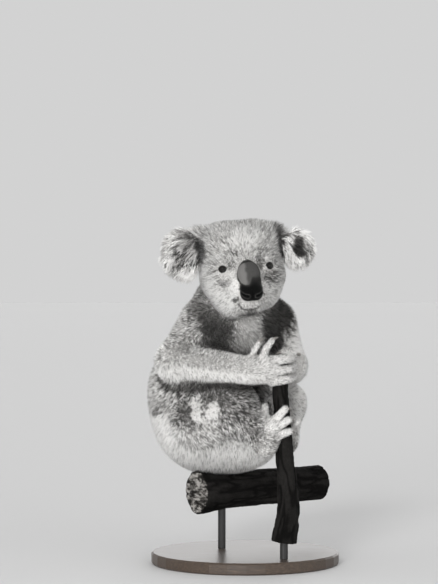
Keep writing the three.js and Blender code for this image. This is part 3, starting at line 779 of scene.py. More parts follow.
class Nodes:
    """A material's node tree, with short calls that add a node and wire its inputs."""

    def __init__(self, name):
        self.material = bpy.data.materials.new(name)
        self.material.use_nodes = True
        self.tree = self.material.node_tree
        self.shader = self.tree.nodes["Principled BSDF"]

    def add(self, kind, inputs=None, **settings):
        node = self.tree.nodes.new(f"ShaderNode{kind}")
        for key, value in settings.items():
            setattr(node, key, value)
        for key, value in (inputs or {}).items():
            self.wire(node.inputs[key], value)
        return node

    def wire(self, socket, value):
        if isinstance(value, bpy.types.NodeSocket):
            self.tree.links.new(value, socket)
        else:
            socket.default_value = value

    def ramp(self, fac, *stops):
        """A colour ramp through (place, colour) stops."""
        node = self.add("ValToRGB", {"Fac": fac})
        ends = node.color_ramp.elements
        while len(ends) < len(stops):
            ends.new(0.5)
        for end, (place, colour) in zip(ends, stops):
            end.position = place
            end.color = (*colour, 1)
        return node.outputs["Color"]

    def attribute(self, name):
        """A value that add_values has put on the mesh."""
        return self.add("Attribute", attribute_name=name).outputs["Fac"]

    def maths(self, operation, *values):
        return self.add("Math", dict(enumerate(values)), operation=operation).outputs[0]

    def sum(self, *shares):
        """The sum of (value, share) pairs, each value times its share."""
        terms = [self.maths("MULTIPLY", value, share) for value, share in shares]
        total = terms[0]
        for term in terms[1:]:
            total = self.maths("ADD", total, term)
        return total

    def noise(self, scale, detail, roughness=0.6, vector=None):
        inputs = {"Scale": scale, "Detail": detail, "Roughness": roughness}
        if vector is not None:
            inputs["Vector"] = vector
        return self.add("TexNoise", inputs).outputs["Fac"]

    def place(self, *scale):
        """Object coordinates, scaled along each axis."""
        where = self.add("TexCoord").outputs["Object"]
        return self.add("Mapping", {"Vector": where, "Scale": scale}).outputs[0]

    def mix(self, fac, a, b):
        node = self.add("Mix", data_type="RGBA")
        for socket, value in zip((node.inputs[0], node.inputs[6], node.inputs[7]), (fac, a, b)):
            self.wire(socket, value)
        return node.outputs[2]

    def bump(self, height, strength, distance):
        inputs = {"Height": height, "Strength": strength, "Distance": distance}
        self.wire(self.shader.inputs["Normal"], self.add("Bump", inputs).outputs["Normal"])

    def finish(self, colour, roughness, **settings):
        self.wire(self.shader.inputs["Base Color"], colour)
        self.wire(self.shader.inputs["Roughness"], roughness)
        for key, value in settings.items():
            self.wire(self.shader.inputs[key.replace("_", " ")], value)
        return self.material


def grey(level):
    return (level,) * 3


# Reflectance to colour: the coat is an ash grey, a little warmer where it is dark.
COAT_RAMP = [
    (0.0, (0.012, 0.011, 0.01)),
    (0.25, (0.232, 0.225, 0.216)),
    (0.6, (0.588, 0.578, 0.564)),
    (1.0, (0.975, 0.968, 0.952)),
]


def coat_material():
    n = Nodes("coat")
    grain = n.maths("MULTIPLY_ADD", n.noise(900, 2), 0.5, 0.75)
    colour = n.ramp(n.maths("MULTIPLY", n.attribute("tone"), grain), *COAT_RAMP)
    return n.finish(colour, 0.72, Specular_IOR_Level=0.22, Sheen_Weight=0.15, Sheen_Roughness=0.4)


def skin_material():
    n = Nodes("skin")
    hairs = n.noise(1100, 5, 0.7)
    grain = n.maths("MULTIPLY_ADD", hairs, 0.7, 0.62)
    n.bump(hairs, 0.6, 0.0012)
    colour = n.ramp(n.maths("MULTIPLY", n.attribute("tone"), grain), *COAT_RAMP)
    return n.finish(colour, 0.8, Specular_IOR_Level=0.2)


def nose_material():
    """Bare leather with a fine pebbled grain: greyer and rougher on top, black and glossier below."""
    n = Nodes("nose_leather")
    tone, wear = n.attribute("tone"), n.noise(170, 6, 0.7)
    cells = n.add("TexVoronoi", {"Scale": 620.0}, feature="DISTANCE_TO_EDGE").outputs["Distance"]
    pebble = n.maths("MINIMUM", n.maths("MULTIPLY", cells, 5.0), 0.6)
    n.bump(n.maths("ADD", pebble, n.maths("MULTIPLY", wear, 1.6)), 0.6, 0.001)
    mottle = n.maths("MULTIPLY", tone, n.maths("ADD", wear, 0.5))
    stops = (0.0, grey(0.003)), (0.45, (0.03, 0.029, 0.028)), (0.85, (0.19, 0.186, 0.18))
    rough = n.ramp(tone, (0.0, grey(0.48)), (0.5, grey(0.72)))
    return n.finish(n.ramp(mottle, *stops), rough, Specular_IOR_Level=0.09)


def eye_material():
    n = Nodes("eye")
    fibres = n.maths("ADD", n.noise(2600, 4, 0.7), 0.5)
    stops = (0.0, grey(0.001)), (0.5, (0.004, 0.003, 0.002)), (1.0, (0.008, 0.006, 0.004))
    colour = n.ramp(n.maths("MULTIPLY", n.attribute("tone"), fibres), *stops)
    return n.finish(colour, 0.08, Specular_IOR_Level=0.34)


def claw_material():
    n = Nodes("claw_horn")
    streak = n.noise(700, 4, 0.6)
    n.bump(streak, 0.3, 0.0003)
    stops = (0.1, (0.05, 0.045, 0.04)), (0.6, (0.2, 0.185, 0.17)), (1.0, (0.44, 0.42, 0.39))
    colour = n.ramp(n.sum((n.attribute("tone"), 0.7), (streak, 0.3)), *stops)
    return n.finish(colour, 0.32, Specular_IOR_Level=0.55)


def bark_material():
    """Nearly black bark with grey flakes, and weathered wood with growth rings where it was cut."""
    n = Nodes("bark")
    coarse, fine = n.noise(60, 6, 0.7), n.noise(420, 6, 0.75)
    lift = n.sum((n.attribute("tone"), 0.55), (coarse, 0.45))
    bark = n.ramp(
        n.sum((lift, 0.75), (fine, 0.3)),
        (0.25, grey(0.001)),
        (0.5, (0.004, 0.0037, 0.0034)),
        (0.68, (0.017, 0.016, 0.015)),
        (0.85, (0.08, 0.076, 0.072)),
    )
    wobble = n.maths("ADD", n.attribute("ring"), n.maths("MULTIPLY", n.noise(45, 3), 5.0))
    rings = n.maths("ABSOLUTE", n.maths("SINE", n.maths("MULTIPLY", wobble, 1.35)))
    weather = n.maths("SUBTRACT", n.maths("MULTIPLY", n.noise(11, 6, 0.6), 2.3), 0.83)
    wood = n.ramp(
        n.maths("ADD", n.maths("MULTIPLY", rings, 0.25), weather),
        (0.3, (0.012, 0.011, 0.01)),
        (0.5, (0.09, 0.084, 0.078)),
        (0.68, (0.36, 0.345, 0.325)),
    )
    n.bump(n.maths("ADD", fine, n.maths("MULTIPLY", coarse, 0.8)), 0.7, 0.0018)
    return n.finish(n.mix(n.attribute("cut"), bark, wood), 0.9, Specular_IOR_Level=0.1)


def stand_material():
    """Dark stained timber with a fine straight grain and a satin varnish."""
    n = Nodes("stained_wood")
    grain = n.noise(70, 8, 0.65, n.place(0.35, 9, 9))
    pores = n.noise(900, 2, 0.5, n.place(0.08, 1, 1))
    shade = n.sum((grain, 0.8), (pores, 0.2))
    n.bump(shade, 0.25, 0.0006)
    stops = (0.3, (0.016, 0.011, 0.008)), (0.55, (0.052, 0.035, 0.024)), (0.75, (0.11, 0.076, 0.052))
    rough = n.ramp(grain, (0.3, grey(0.34)), (0.7, grey(0.46)))
    varnish = dict(Specular_IOR_Level=0.5, Coat_Weight=0.25, Coat_Roughness=0.25)
    return n.finish(n.ramp(shade, *stops), rough, **varnish)


def rod_material():
    """Matt black paint on steel rod, with the faint orange-peel of a sprayed coat."""
    n = Nodes("painted_rod")
    scuff = n.noise(60, 6, 0.7)
    n.bump(n.noise(1400, 3, 0.5), 0.2, 0.0003)
    stops = (0.35, grey(0.012)), (0.7, (0.022, 0.0215, 0.021)), (0.85, (0.05, 0.049, 0.047))
    rough = n.ramp(scuff, (0.3, grey(0.42)), (0.7, grey(0.58)))
    return n.finish(n.ramp(scuff, *stops), rough, Metallic=0.0, Specular_IOR_Level=0.5)


def floor_material():
    n = Nodes("studio_floor")
    n.bump(n.noise(30, 4), 0.05, 0.001)
    return n.finish(n.ramp(n.noise(2.5, 3), (0.3, grey(0.61)), (0.7, grey(0.63))), 0.9)


COAT, SKIN, BARK = coat_material(), skin_material(), bark_material()

# ---------------------------------------------------------------- the skin

SKIN_BOX = point(-175, -160, -14), point(165, 135, 425)
SKIN_CELL = 2.45
FINER = dict(eyes=(17, 13), mouth=(22,))  # how far from each the skin's faces are split, once for each number


def refined(vertices, quads, spots, field):
    """The mesh in triangles, with its faces split where they are near one of the (middle, radius) spots."""
    mesh = bmesh.new()
    corners = [mesh.verts.new(v) for v in vertices]
    for quad in quads:
        if len(set(quad)) == 4:
            mesh.faces.new([corners[i] for i in quad])
    for middle, radius in spots:
        co = np.array([v.co for v in mesh.verts])
        near = np.linalg.norm(co - middle, axis=1) < radius
        mesh.verts.index_update()
        edges = [e for e in mesh.edges if near[e.verts[0].index] and near[e.verts[1].index]]
        bmesh.ops.subdivide_edges(mesh, edges=edges, cuts=1, use_grid_fill=True)
    bmesh.ops.triangulate(mesh, faces=mesh.faces)
    mesh.verts.index_update()
    co = np.array([v.co for v in mesh.verts])
    triangles = np.array([[v.index for v in f.verts] for f in mesh.faces])
    mesh.free()
    changed = np.any([np.linalg.norm(co - middle, axis=1) < radius + 2 for middle, radius in spots], axis=0)
    co[changed] = settle(co[changed], field, SKIN_CELL / 2)
    return co, triangles


def skin_mesh():
    vertices, quads = surface_of(skin_field, *SKIN_BOX, SKIN_CELL)
    spots = [(middle, radius) for middle, _ in EYE_FRAMES.values() for radius in FINER["eyes"]]
    spots += [(in_head(0, -60, -56), radius) for radius in FINER["mouth"]]
    return refined(vertices, quads, spots, skin_field)


skin_points, skin_faces = skin_mesh()
skin_normals = unit(slope_of(skin_field, skin_points))

branch_field = chain(BRANCH_POINTS, BRANCH_RADII)
log_along = turned(LOG["heading"]) @ point(1, 0, 0)
log_ends = [LOG["middle"] + reach * log_along for reach in (-LOG["near"], LOG["far"])]
log_field = taper(*log_ends, LOG["cut_radius"], LOG["radius"])

NOSE_EDGE = 1.9  # how far the painted shadow on the skin goes round the nose
WINGS_TOP = -34  # the top of the nose's wings: below it the coat grows right up to the nose
EYE_RIM = dict(upper=1.36, lower=1.12)  # the dark rim's edge, in half sizes of the lids' opening
# Bare skin: dark pads, lid rims and lips, and painted shadow round the nose.
BARE_TONES = dict(pad=0.09, rim=0.02, lip=0.04, nose=0.03)
UNDERCOAT_SHADE = dict(grey=0.45, white=0.85)  # how light the skin is under grey and white coat, as a share of it: darker underfur and painted shade deep in the coat


def is_pad(p, normals):
    """Where a hand or a foot presses on the branch, which is where it has bare dark pads."""
    return (branch_field(p) < 4.5) & ((slope_of(branch_field, p) * normals).sum(1) < -0.35)


def paleness(tone):
    return smooth((tone - 0.5) / 0.3)


def over_wings(p):
    return to_head(p)[:, 2] > WINGS_TOP


def skin_tones():
    weights = coat_weights(skin_points)
    tone = coat_tone(skin_points, skin_normals, weights)
    covered = 1 - 0.8 * share_of(weights, "hand", "foot")
    under = UNDERCOAT_SHADE["grey"] + (UNDERCOAT_SHADE["white"] - UNDERCOAT_SHADE["grey"]) * paleness(tone)
    tone = tone * (1 + (under - 1) * covered)
    tone[is_pad(skin_points, skin_normals)] = BARE_TONES["pad"]
    for local in from_eyes(skin_points):
        edge = np.where(local[:, 1] > 0, EYE_RIM["upper"], EYE_RIM["lower"])
        tone = np.where((local[:, 2] > 0) & (in_lids(local, LID["half"]) < edge), BARE_TONES["rim"], tone)
    # Painted shadow on the skin in the gap round the top of the nose.
    painted_nose_shadow = (nose_shape(skin_points) < NOSE_EDGE) & over_wings(skin_points)
    tone = np.where(lip_field(skin_points) < LIP_EDGE, BARE_TONES["lip"], tone)
    return np.where(painted_nose_shadow, BARE_TONES["nose"], tone)


skin = add_mesh("skin", skin_points, skin_faces, SKIN, skin_tones())
dress(skin, "coat", *PART_NAMES)

# ---------------------------------------------------------------- the lie of the coat

# A lie gives the way that the coat points at each place, before it is laid along the skin. A droop turns it
# towards the ground.


def along(start, end, droop):
    way = unit(unit(end - start) + point(0, 0, -droop))
    return lambda p: np.broadcast_to(way, p.shape)


def away_from(spot, droop):
    return lambda p: unit(p - spot) + point(0, 0, -droop)


def head_lie(p):
    """From the nose outwards, and round behind the cheeks to the neck."""
    local = to_head(p)
    out = unit(local - point(0, -52, -16))
    back = smooth((local[:, 1] + 25) / 60)[:, None]
    way = out * (1 - back) + unit(out + point(0, 0.9, -0.75)) * back
    for sign in SIDES.values():
        gap = local - EYE["middle"] * point(sign, 1, 1)
        near = smooth((20 - np.linalg.norm(gap, axis=1)) / 10)[:, None]
        way = way * (1 - near) + unit(gap) * near
    return way @ head_turn.T


def trunk_lie(p):
    """Down the back, the flanks and the belly, and in towards the tail."""
    low = smooth((95 - p[:, 2]) / 110)[:, None]
    inwards = unit((SPINE[1][0] - p) * point(1, 1, 0))
    return unit(point(0, 0, -1) + low * 0.9 * inwards)


def paw_lie(before, digits):
    """Along each digit to its claw, and from the wrist or ankle over the palm or sole."""

    def lie(p):
        total = np.zeros_like(p)
        for path, radius, _ in digits.values():
            for start, end in zip([before] + path, path):
                near = np.exp(-taper(start, end, radius, radius)(p) / 2.5)
                total += near[:, None] * unit(end - start)
        return unit(total)

    return lie


LIES = dict(head=head_lie, neck=along(point(0, -20, 300), point(0, -10, 240), 0), trunk=trunk_lie)
for side, sign in SIDES.items():
    (shoulder, elbow, wrist), (hip, knee, ankle) = ARMS[side][0], LEGS[side][0]
    LIES[f"ear_{side}"] = away_from(in_head(sign * 50, 12, 58), 0.35)
    LIES[f"upper_arm_{side}"] = along(shoulder, elbow, 0.3)
    LIES[f"forearm_{side}"] = along(elbow, wrist, 0.35)
    LIES[f"hand_{side}"] = paw_lie(wrist, HANDS[side]["digits"])
    LIES[f"thigh_{side}"] = along(hip, knee, 0.5)
    LIES[f"shin_{side}"] = along(knee, ankle, 0.1)
    LIES[f"foot_{side}"] = paw_lie(ankle, FEET[side]["digits"])


def lie_at(p, normals, weights):
    """Which way the coat lies at each point, along the skin."""
    way = np.zeros_like(p)
    for column, name in enumerate(PART_NAMES):
        some = weights[:, column] > 0.02
        way[some] += weights[some, column, None] * LIES[name](p[some])
    way += 0.22 * noise_vector(p, 22, 60) + 0.2 * noise_vector(p, 6, 70)
    way -= (way * normals).sum(1, keepdims=True) * normals
    return unit(way)


# ---------------------------------------------------------------- locks

rng = np.random.default_rng(SEED)


def scatter():
    """Roots spread over the skin, with as many on each face as the coat there needs."""
    corners = skin_points[skin_faces]
    area = np.linalg.norm(np.cross(corners[:, 1] - corners[:, 0], corners[:, 2] - corners[:, 0]), axis=1) / 2
    weights = coat_weights(corners.mean(1))
    wanted = np.cumsum(area / of_coat(weights, "cover"))
    count = int(wanted[-1])
    face = np.searchsorted(wanted, np.arange(count) + rng.random(count))
    face = np.minimum(face, len(area) - 1)
    a, b = np.sqrt(rng.random(count)), rng.random(count)
    shares = np.stack([1 - a, a * (1 - b), a * b], 1)[..., None]
    roots = (corners[face] * shares).sum(1)
    normals = unit((skin_normals[skin_faces[face]] * shares).sum(1))
    return roots, normals


def face_scale(p):
    """How long the face's coat is, as a share of the rest of the head's: least at the nose and the lids."""
    scale = smooth((nose_shape(p) - 1) / 30) * 0.55 + 0.45
    for middle, _ in EYE_FRAMES.values():
        gap = np.linalg.norm(p - middle, axis=1)
        scale = np.minimum(scale, 0.42 + 0.58 * smooth((gap - 8) / 12))
    return scale


def bare(p, normals):
    """Where nothing grows: under the nose, in the eyes, on lips and pads, and where it sits."""
    hidden = nose_shape(p) < np.where(over_wings(p), 1.3, 0.4)
    hidden |= is_pad(p, normals) | (log_field(p) < 1) | (lip_field(p) < LIP_EDGE)
    for local in from_eyes(p):
        hidden |= (local[:, 2] > 0) & (in_lids(local, LID["half"] + LID["clear"]) < 1)
    return hidden


def only(locks, mask):
    """Some of the locks. Each array of a set of locks has a row for each lock."""
    return SimpleNamespace(**{key: values[mask] for key, values in vars(locks).items()})


EAR_RINGS, BODY_RINGS = 5, 1  # how many rings of vertices a lock has below its tip
SINK = 0.6  # how deep a lock's root is in the skin
WAVES = 1.1  # how many times an ear's lock waves from side to side
ROOT_SHADE, TIP_SHADE = 0.5, 1.2  # how light a lock is at its ends, as a share of its own tone: darker roots are the hairs' own bands and painted shade deep in the coat
LOCK_THICK = 0.75  # how thick a lock is, as a share of its width
PATCH = 0.003  # how large a lock's patch of the OFBake map is


def lock_path(locks, t):
    """The point of each lock at t, from 0 at its root to 1 at its tip: it rises, then lies over."""
    rise = locks.height * (1 - (1 - t) ** 2) - SINK * (1 - t)
    reach = locks.length * t
    path = locks.root + locks.normal * rise[:, None] + locks.lie * reach[:, None]
    wave = locks.wave * t * np.sin(WAVES * math.tau * t + locks.phase)
    across = np.cross(locks.normal, locks.lie)
    return path + locks.sway * (locks.length * t * t)[:, None] + across * wave[:, None]


def ring_tones(locks, rings):
    """How light the coat is where each ring of each lock lies. A short lock has the tone of its root."""
    if rings == BODY_RINGS:
        return np.repeat(locks.tone[:, None], rings + 1, 1)
    places = (lock_path(locks, t) for t in np.linspace(0, 1, rings + 1))
    return np.stack([coat_tone(p, locks.normal, coat_weights(p)) for p in places], 1)


def lock_width(t):
    """How wide a lock is at t, as a share of its own width: narrower at its root, and nothing at its tip."""
    return 0.75 if t == 0 else (1 - t) ** 0.55 * 1.1


def lock_faces(rings):
    """The triangles of one lock, whose rings of three vertices run from the root to the tip."""
    sides = ((0, 1), (1, 2), (2, 0))
    faces = [(0, 2, 1)]
    for low in range(0, 3 * (rings - 1), 3):
        high = low + 3
        for a, b in sides:
            faces += [(low + a, low + b, high + b), (low + a, high + b, high + a)]
    last = 3 * (rings - 1)
    return np.array(faces + [(last + a, last + b, 3 * rings) for a, b in sides])


def lock_mesh(locks, rings):
    """Closed three-sided locks: vertices, triangles, and the tone and patch of each vertex."""
    places = np.linspace(0, 1, rings + 1)
    rows = [lock_path(locks, t) for t in places]
    vertices = []
    for n, t in enumerate(places[:-1]):
        tangent = unit(rows[n + 1] - rows[max(n - 1, 0)])
        side = unit(np.cross(tangent, locks.normal))
        up = np.cross(side, tangent)
        half = locks.width[:, None] / 2 * lock_width(t)
        for corner in range(3):
            turn = math.pi / 2 + corner * math.tau / 3
            vertices.append(rows[n] + half * (math.cos(turn) * side + LOCK_THICK * math.sin(turn) * up))
    vertices = np.stack(vertices + [rows[-1]], 1)
    ring_of = np.append(np.repeat(np.arange(rings), 3), rings)
    along_lock = places[ring_of]
    round_lock = np.append(np.tile([-0.5, 0.0, 0.5], rings), 0.0)

    count, each = vertices.shape[:2]
    faces = lock_faces(rings) + each * np.arange(count)[:, None, None]
    own = np.clip(ring_tones(locks, rings) * locks.fleck[:, None], 0.015, 0.98)[:, ring_of]
    # Painted shade deep in the coat, with the hairs' darker roots: less of both in pale coat.
    base = ROOT_SHADE + (1 - ROOT_SHADE) * 0.9 * paleness(own)
    tones = own * (base + (TIP_SHADE - base) * along_lock**1.3)
    uv = locks.uv[:, None] + np.stack([round_lock, along_lock - 0.5], 1) * PATCH
    return vertices.reshape(-1, 3), faces.reshape(-1, 3), tones.ravel(), uv.reshape(-1, 2)


def gathered(root, part):
    """The clump that each lock leans to: its middle, and a random number."""
    goal, mark = np.zeros_like(root), np.zeros(len(root))
    sizes = np.array([COATS[kind_of(name)]["clump"] for name in PART_NAMES])[part]
    for size in np.unique(sizes):
        own = sizes == size
        goal[own], mark[own] = clumps(root[own], size, 80)
    return goal, mark


# How light the flecks are, as a share of the coat, and how much lighter most dark ones are in pale coat.
FLECK = dict(white=1.7, dark=0.14, soft=0.5)


def flecked(root, weights, tone, mark, calm):
    """How much lighter each lock is than its place: some clumps of the coat are dark, and some are white."""
    chance = 0.2 * rng.random(len(root)) + 0.8 * mark
    pale = paleness(tone)
    dark = of_coat(weights, "dark") * (1 - 0.25 * pale)
    fleck = np.where(chance > 1 - of_coat(weights, "white"), FLECK["white"], 1.0)
    fleck = np.where(chance < dark, FLECK["dark"] + FLECK["soft"] * pale * (chance > 0.2 * dark), fleck)
    return (fleck + (1 - fleck) * calm) * (0.82 + 0.36 * rng.random(len(root)))


EAR_PROUD = (-5, 6)  # how far past the ear's outline a clump's tips end, at the least and at the most


def kept_to_ears(locks, mark):
    """The same locks, with those of the ears cut near the ear's round outline, each clump a little apart."""
    proud = between(EAR_PROUD, mark)
    on_ear = np.isin(locks.part, [PART_NAMES.index(f"ear_{side}") for side in SIDES])
    outline = union(*(head_egg(*e["middle"], e["half"], turn=turned(e["yaw"])) for e in EARS.values()))
    for _ in range(3):
        over = outline(lock_path(locks, 1.0)) - proud
        locks.length[on_ear] -= np.clip(over, 0, 0.35 * locks.length)[on_ear]
    return locks


def grown():
    """Every lock of the coat."""
    root, normal = scatter()
    keep = ~bare(root, normal)
    root, normal = root[keep], normal[keep]
    count = len(root)
    weights = coat_weights(root)
    part = weights.argmax(1)
    on_head, on_ear = share_of(weights, "head"), share_of(weights, "ear")
    behind_ear = on_ear * smooth((normal @ head_turn[:, 1]) / 0.3)
    on_bib = smooth(1.6 - np.linalg.norm((root - BIB[0]) / BIB[1], axis=1))

    scale = 1 + on_head * (face_scale(root) - 1)
    length = of_coat(weights, "length") * scale * (0.7 + 0.5 * rng.random(count)) * (1 - 0.6 * behind_ear)
    height = of_coat(weights, "depth") * scale * (0.8 + 0.35 * rng.random(count))
    width = of_coat(weights, "width") * (0.7 + 0.6 * rng.random(count)) * (0.6 + 0.4 * scale)

    goal, mark = gathered(root, part)
    pull = (goal - root) - ((goal - root) * normal).sum(1, keepdims=True) * normal
    lean = (of_coat(weights, "lean") / np.maximum(length, 1))[:, None]
    sway = lean * pull + 0.26 * (rng.random((count, 3)) * 2 - 1)

    tone = coat_tone(root, normal, weights)
    locks = SimpleNamespace(
        root=root,
        normal=normal,
        lie=lie_at(root, normal, weights),
        length=length,
        height=height,
        width=width,
        tone=tone,
        fleck=flecked(root, weights, tone, mark, 0.7 * np.maximum(behind_ear, on_bib)),
        sway=sway,
        wave=2.2 * on_ear * (0.5 + rng.random(count)),
        phase=math.tau * mark + rng.random(count),
        part=part,
    )
    return clear_of_others(kept_to_ears(locks, mark))


def clear_of_others(locks):
    """Drops the locks that would run into another part of the body, an eye, the nose or the perch."""
    keep = np.ones(len(locks.root), bool)
    for t in (0.55, 1.0):
        p = lock_path(locks, t)
        keep &= skin_field(p) > 0.15 * locks.height * t
        flat = locks.root + locks.lie * (locks.length * t)[:, None]
        keep &= (nose_shape(p) > -0.2) & (lip_field(flat) > LIP_EDGE)
        keep &= (branch_field(p) > -0.5) & (log_field(p) > -1.5)
        for local in from_eyes(p):
            keep &= ~((local[:, 2] > 2) & (in_lids(local, LID["half"]) < 1))
    return only(locks, keep)


def half_space(direction, middle):
    return lambda p: (p - middle) @ unit(direction) > 0


def anywhere(p):
    return np.ones(len(p), bool)


UP = point(0, 0, 1)
HEAD_SIDE, HEAD_BACK = head_turn @ point(1, 0, 0), head_turn @ point(0, 1, 0)
BELLY = point(0.62, -0.78, 0)
RUMP_TOP, CHEST_TOP = 132, 262
TRUNK_MIDDLE, RUMP_MIDDLE = point(-30, 0, 160), point(-45, 0, 96)


def coat_pieces():
    """Each piece of coat: its parts, which side of them it takes, and the middle and pole of its unwrap."""
    high, front = half_space(UP, RUMP_TOP * UP), half_space(BELLY, TRUNK_MIDDLE)

    def chest(p):
        return high(p) & front(p) | (p[:, 2] > CHEST_TOP)

    yield "coat_back", ["trunk"], lambda p: high(p) & ~front(p), TRUNK_MIDDLE, UP
    yield "coat_chest", ["trunk", "neck"], chest, TRUNK_MIDDLE, UP
    yield "coat_rump_back", ["trunk"], lambda p: ~high(p) & ~front(p), RUMP_MIDDLE, UP
    yield "coat_rump_front", ["trunk"], lambda p: ~high(p) & front(p), RUMP_MIDDLE, UP
    for side, sign in SIDES.items():
        own_side = half_space(HEAD_SIDE * sign, HEAD["middle"])
        yield f"coat_face_{side}", ["head"], own_side, in_head(0, 0, 0), HEAD_BACK
        ear = EARS[side]
        pole = head_turn @ turned(ear["yaw"]) @ point(0, -1, 0)
        yield f"coat_ear_{side}", [f"ear_{side}"], anywhere, in_head(*ear["middle"]), pole
        (shoulder, elbow, wrist), (hip, knee, ankle) = ARMS[side][0], LEGS[side][0]
        for part, start, end in (
            ("upper_arm", shoulder, elbow),
            ("forearm", elbow, wrist),
            ("hand", wrist, HANDS[side]["palm"][0]),
            ("thigh", hip, knee),
            ("shin", knee, ankle),
            ("foot", ankle, FEET[side]["sole"][0][1]),
        ):
            yield f"coat_{part}_{side}", [f"{part}_{side}"], anywhere, (start + end) / 2, end - start


def unwrapped(p, middle, pole):
    """Each point's place on a sphere round the middle, unrolled: the angle round the pole, and from it."""
    pole = unit(pole)
    across = unit(np.cross(pole, point(0.3, 0.2, 0.93) if abs(pole[2]) < 0.9 else point(0, 1, 0)))
    third = np.cross(pole, across)
    way = unit(p - middle)
    turn = np.arctan2(way @ third, way @ across) / math.tau + 0.5
    tilt = np.arccos(np.clip(way @ pole, -1, 1)) / math.pi
    return np.stack([turn, tilt], 1) * (1 - 4 * PATCH) + 2 * PATCH


def add_coat():
    locks = grown()
    unclaimed = np.ones(len(locks.root), bool)
    for name, names, rule, middle, pole in coat_pieces():
        mine = unclaimed & np.isin(locks.part, [PART_NAMES.index(part) for part in names]) & rule(locks.root)
        unclaimed &= ~mine
        own = only(locks, mine)
        own.uv = unwrapped(own.root, middle, pole)
        vertices, faces, tones, uv = lock_mesh(own, EAR_RINGS if "ear" in name.split("_") else BODY_RINGS)
        dress(add_mesh(name, vertices, faces, COAT, tones, uv), "coat")


add_coat()

# ---------------------------------------------------------------- nose, eyes and claws

NOSTRIL = [(7.5, -81, -45), (12, -79, -43), (15, -74, -38)]
NOSTRIL_RADII = [2.5, 2.2, 1.2]
NOSE_GROOVE = [(NOSE_OFFSET, -84, -48), (NOSE_OFFSET, -84.5, -40), (NOSE_OFFSET, -83, -34)]


def nostril(sign):
    return chain(laid_on(nose_shape, [(NOSE_OFFSET + sign * x, y, z) for x, y, z in NOSTRIL]), NOSTRIL_RADII)


nostrils = [nostril(sign) for sign in SIDES.values()]
nose_groove = chain(laid_on(nose_shape, NOSE_GROOVE), [1.1, 0.9, 0.3])


def nose_field(p):
    """The nose with its comma nostrils and the groove between them."""
    d = nose_shape(p)
    for cut in (*nostrils, nose_groove):
        d = soft_max(d, -cut(p), 1.2)
    return d


def nose_tones(p):
    """Grey on top with a painted sheen, a lighter strip down its right; black at its edge, a painted shadow,
    and below; and pale nostril rims, a painted highlight.
    """
    local = to_head(p)
    fade = 6 + 12 * smooth((local[:, 0] + 3) / 8)
    top = smooth((local[:, 2] + 27 + 5 * noise(p, 9, 90)) / fade)
    # Painted shadow: black where the top of the nose meets the fur.
    rim = (1 - smooth((parts["head"](p) - 3.2) / 1.4)) * smooth((local[:, 2] + 10) / 8)
    # Painted sheen: a lighter strip down the nose's right.
    painted_sheen = smooth((-local[:, 0] - 4 + 3 * noise(p, 6, 91)) / 6)
    tone = top * (1 - rim) * (0.56 + 0.3 * painted_sheen)
    # Painted highlights: pale rims round the nostrils.
    for cut in nostrils:
        tone = np.maximum(tone, 0.62 * smooth(1 - np.abs(cut(p) - 1.1) / 1.2))
    return tone


def add_nose():
    middle, half, cell = in_head(0, -64, -22), 36, 1.1
    vertices, quads = surface_of(nose_field, middle - half, middle + half, cell)
    piece = add_mesh("nose_leather", vertices, quads, nose_material(), nose_tones(vertices))
    dress(piece, "nose", "nose")


IRIS = 5.4  # the radius of the iris
PUPIL = (1.15, 3.4)  # half sizes of its upright slit
CORNEA = dict(radius=5.6, bulge=0.5)
FLIP = [0, 2, 1]  # the order of a triangle's corners that turns it over


def ring_quads(numbers):
    """The faces between closed rings of vertices, from the vertices' numbers in a row for each ring."""
    after = np.roll(numbers, -1, 1)
    return np.stack([numbers[:-1], after[:-1], after[1:], numbers[1:]], -1).reshape(-1, 4)


def fan(middle, ring):
    """The triangles between a vertex and a closed ring round it."""
    return np.stack([np.full_like(ring, middle), ring, np.roll(ring, -1)], 1)


def add_eyes():
    material = eye_material()
    rows, columns = 39, 48
    tilts, turns = np.linspace(0, math.pi, rows + 2)[1:-1], np.arange(columns) / columns * math.tau
    tilt, turn = (angles.ravel() for angles in np.meshgrid(tilts, turns, indexing="ij"))
    ball = np.stack([np.sin(tilt) * np.cos(turn), np.sin(tilt) * np.sin(turn), np.cos(tilt)], 1)
    local = np.vstack([ball, [(0, 0, 1), (0, 0, -1)]]) * EYE["ball"]
    off, facing_out = np.linalg.norm(local[:, :2], axis=1), local[:, 2] > 0
    tone = np.where(off < IRIS, 0.8 - 0.1 * off, 0.1)
    tone[(np.hypot(*(local[:, :2] / PUPIL).T) < 1) & facing_out] = 0.0
    local[:, 2] += CORNEA["bulge"] * smooth((CORNEA["radius"] - off) / CORNEA["radius"]) * facing_out
    grid = np.arange(len(ball)).reshape(rows, columns)
    quads = ring_quads(grid)
    caps = fan(len(ball), grid[0]), fan(len(ball) + 1, grid[-1])[:, FLIP]
    triangles = np.vstack([quads[:, [0, 3, 2]], quads[:, [0, 2, 1]], *caps])
    for side, (middle, axes) in EYE_FRAMES.items():
        piece = add_mesh(f"eyeball_{side}", local @ axes + middle, triangles, material, tone)
        dress(piece, "eye", f"eye_{side}")


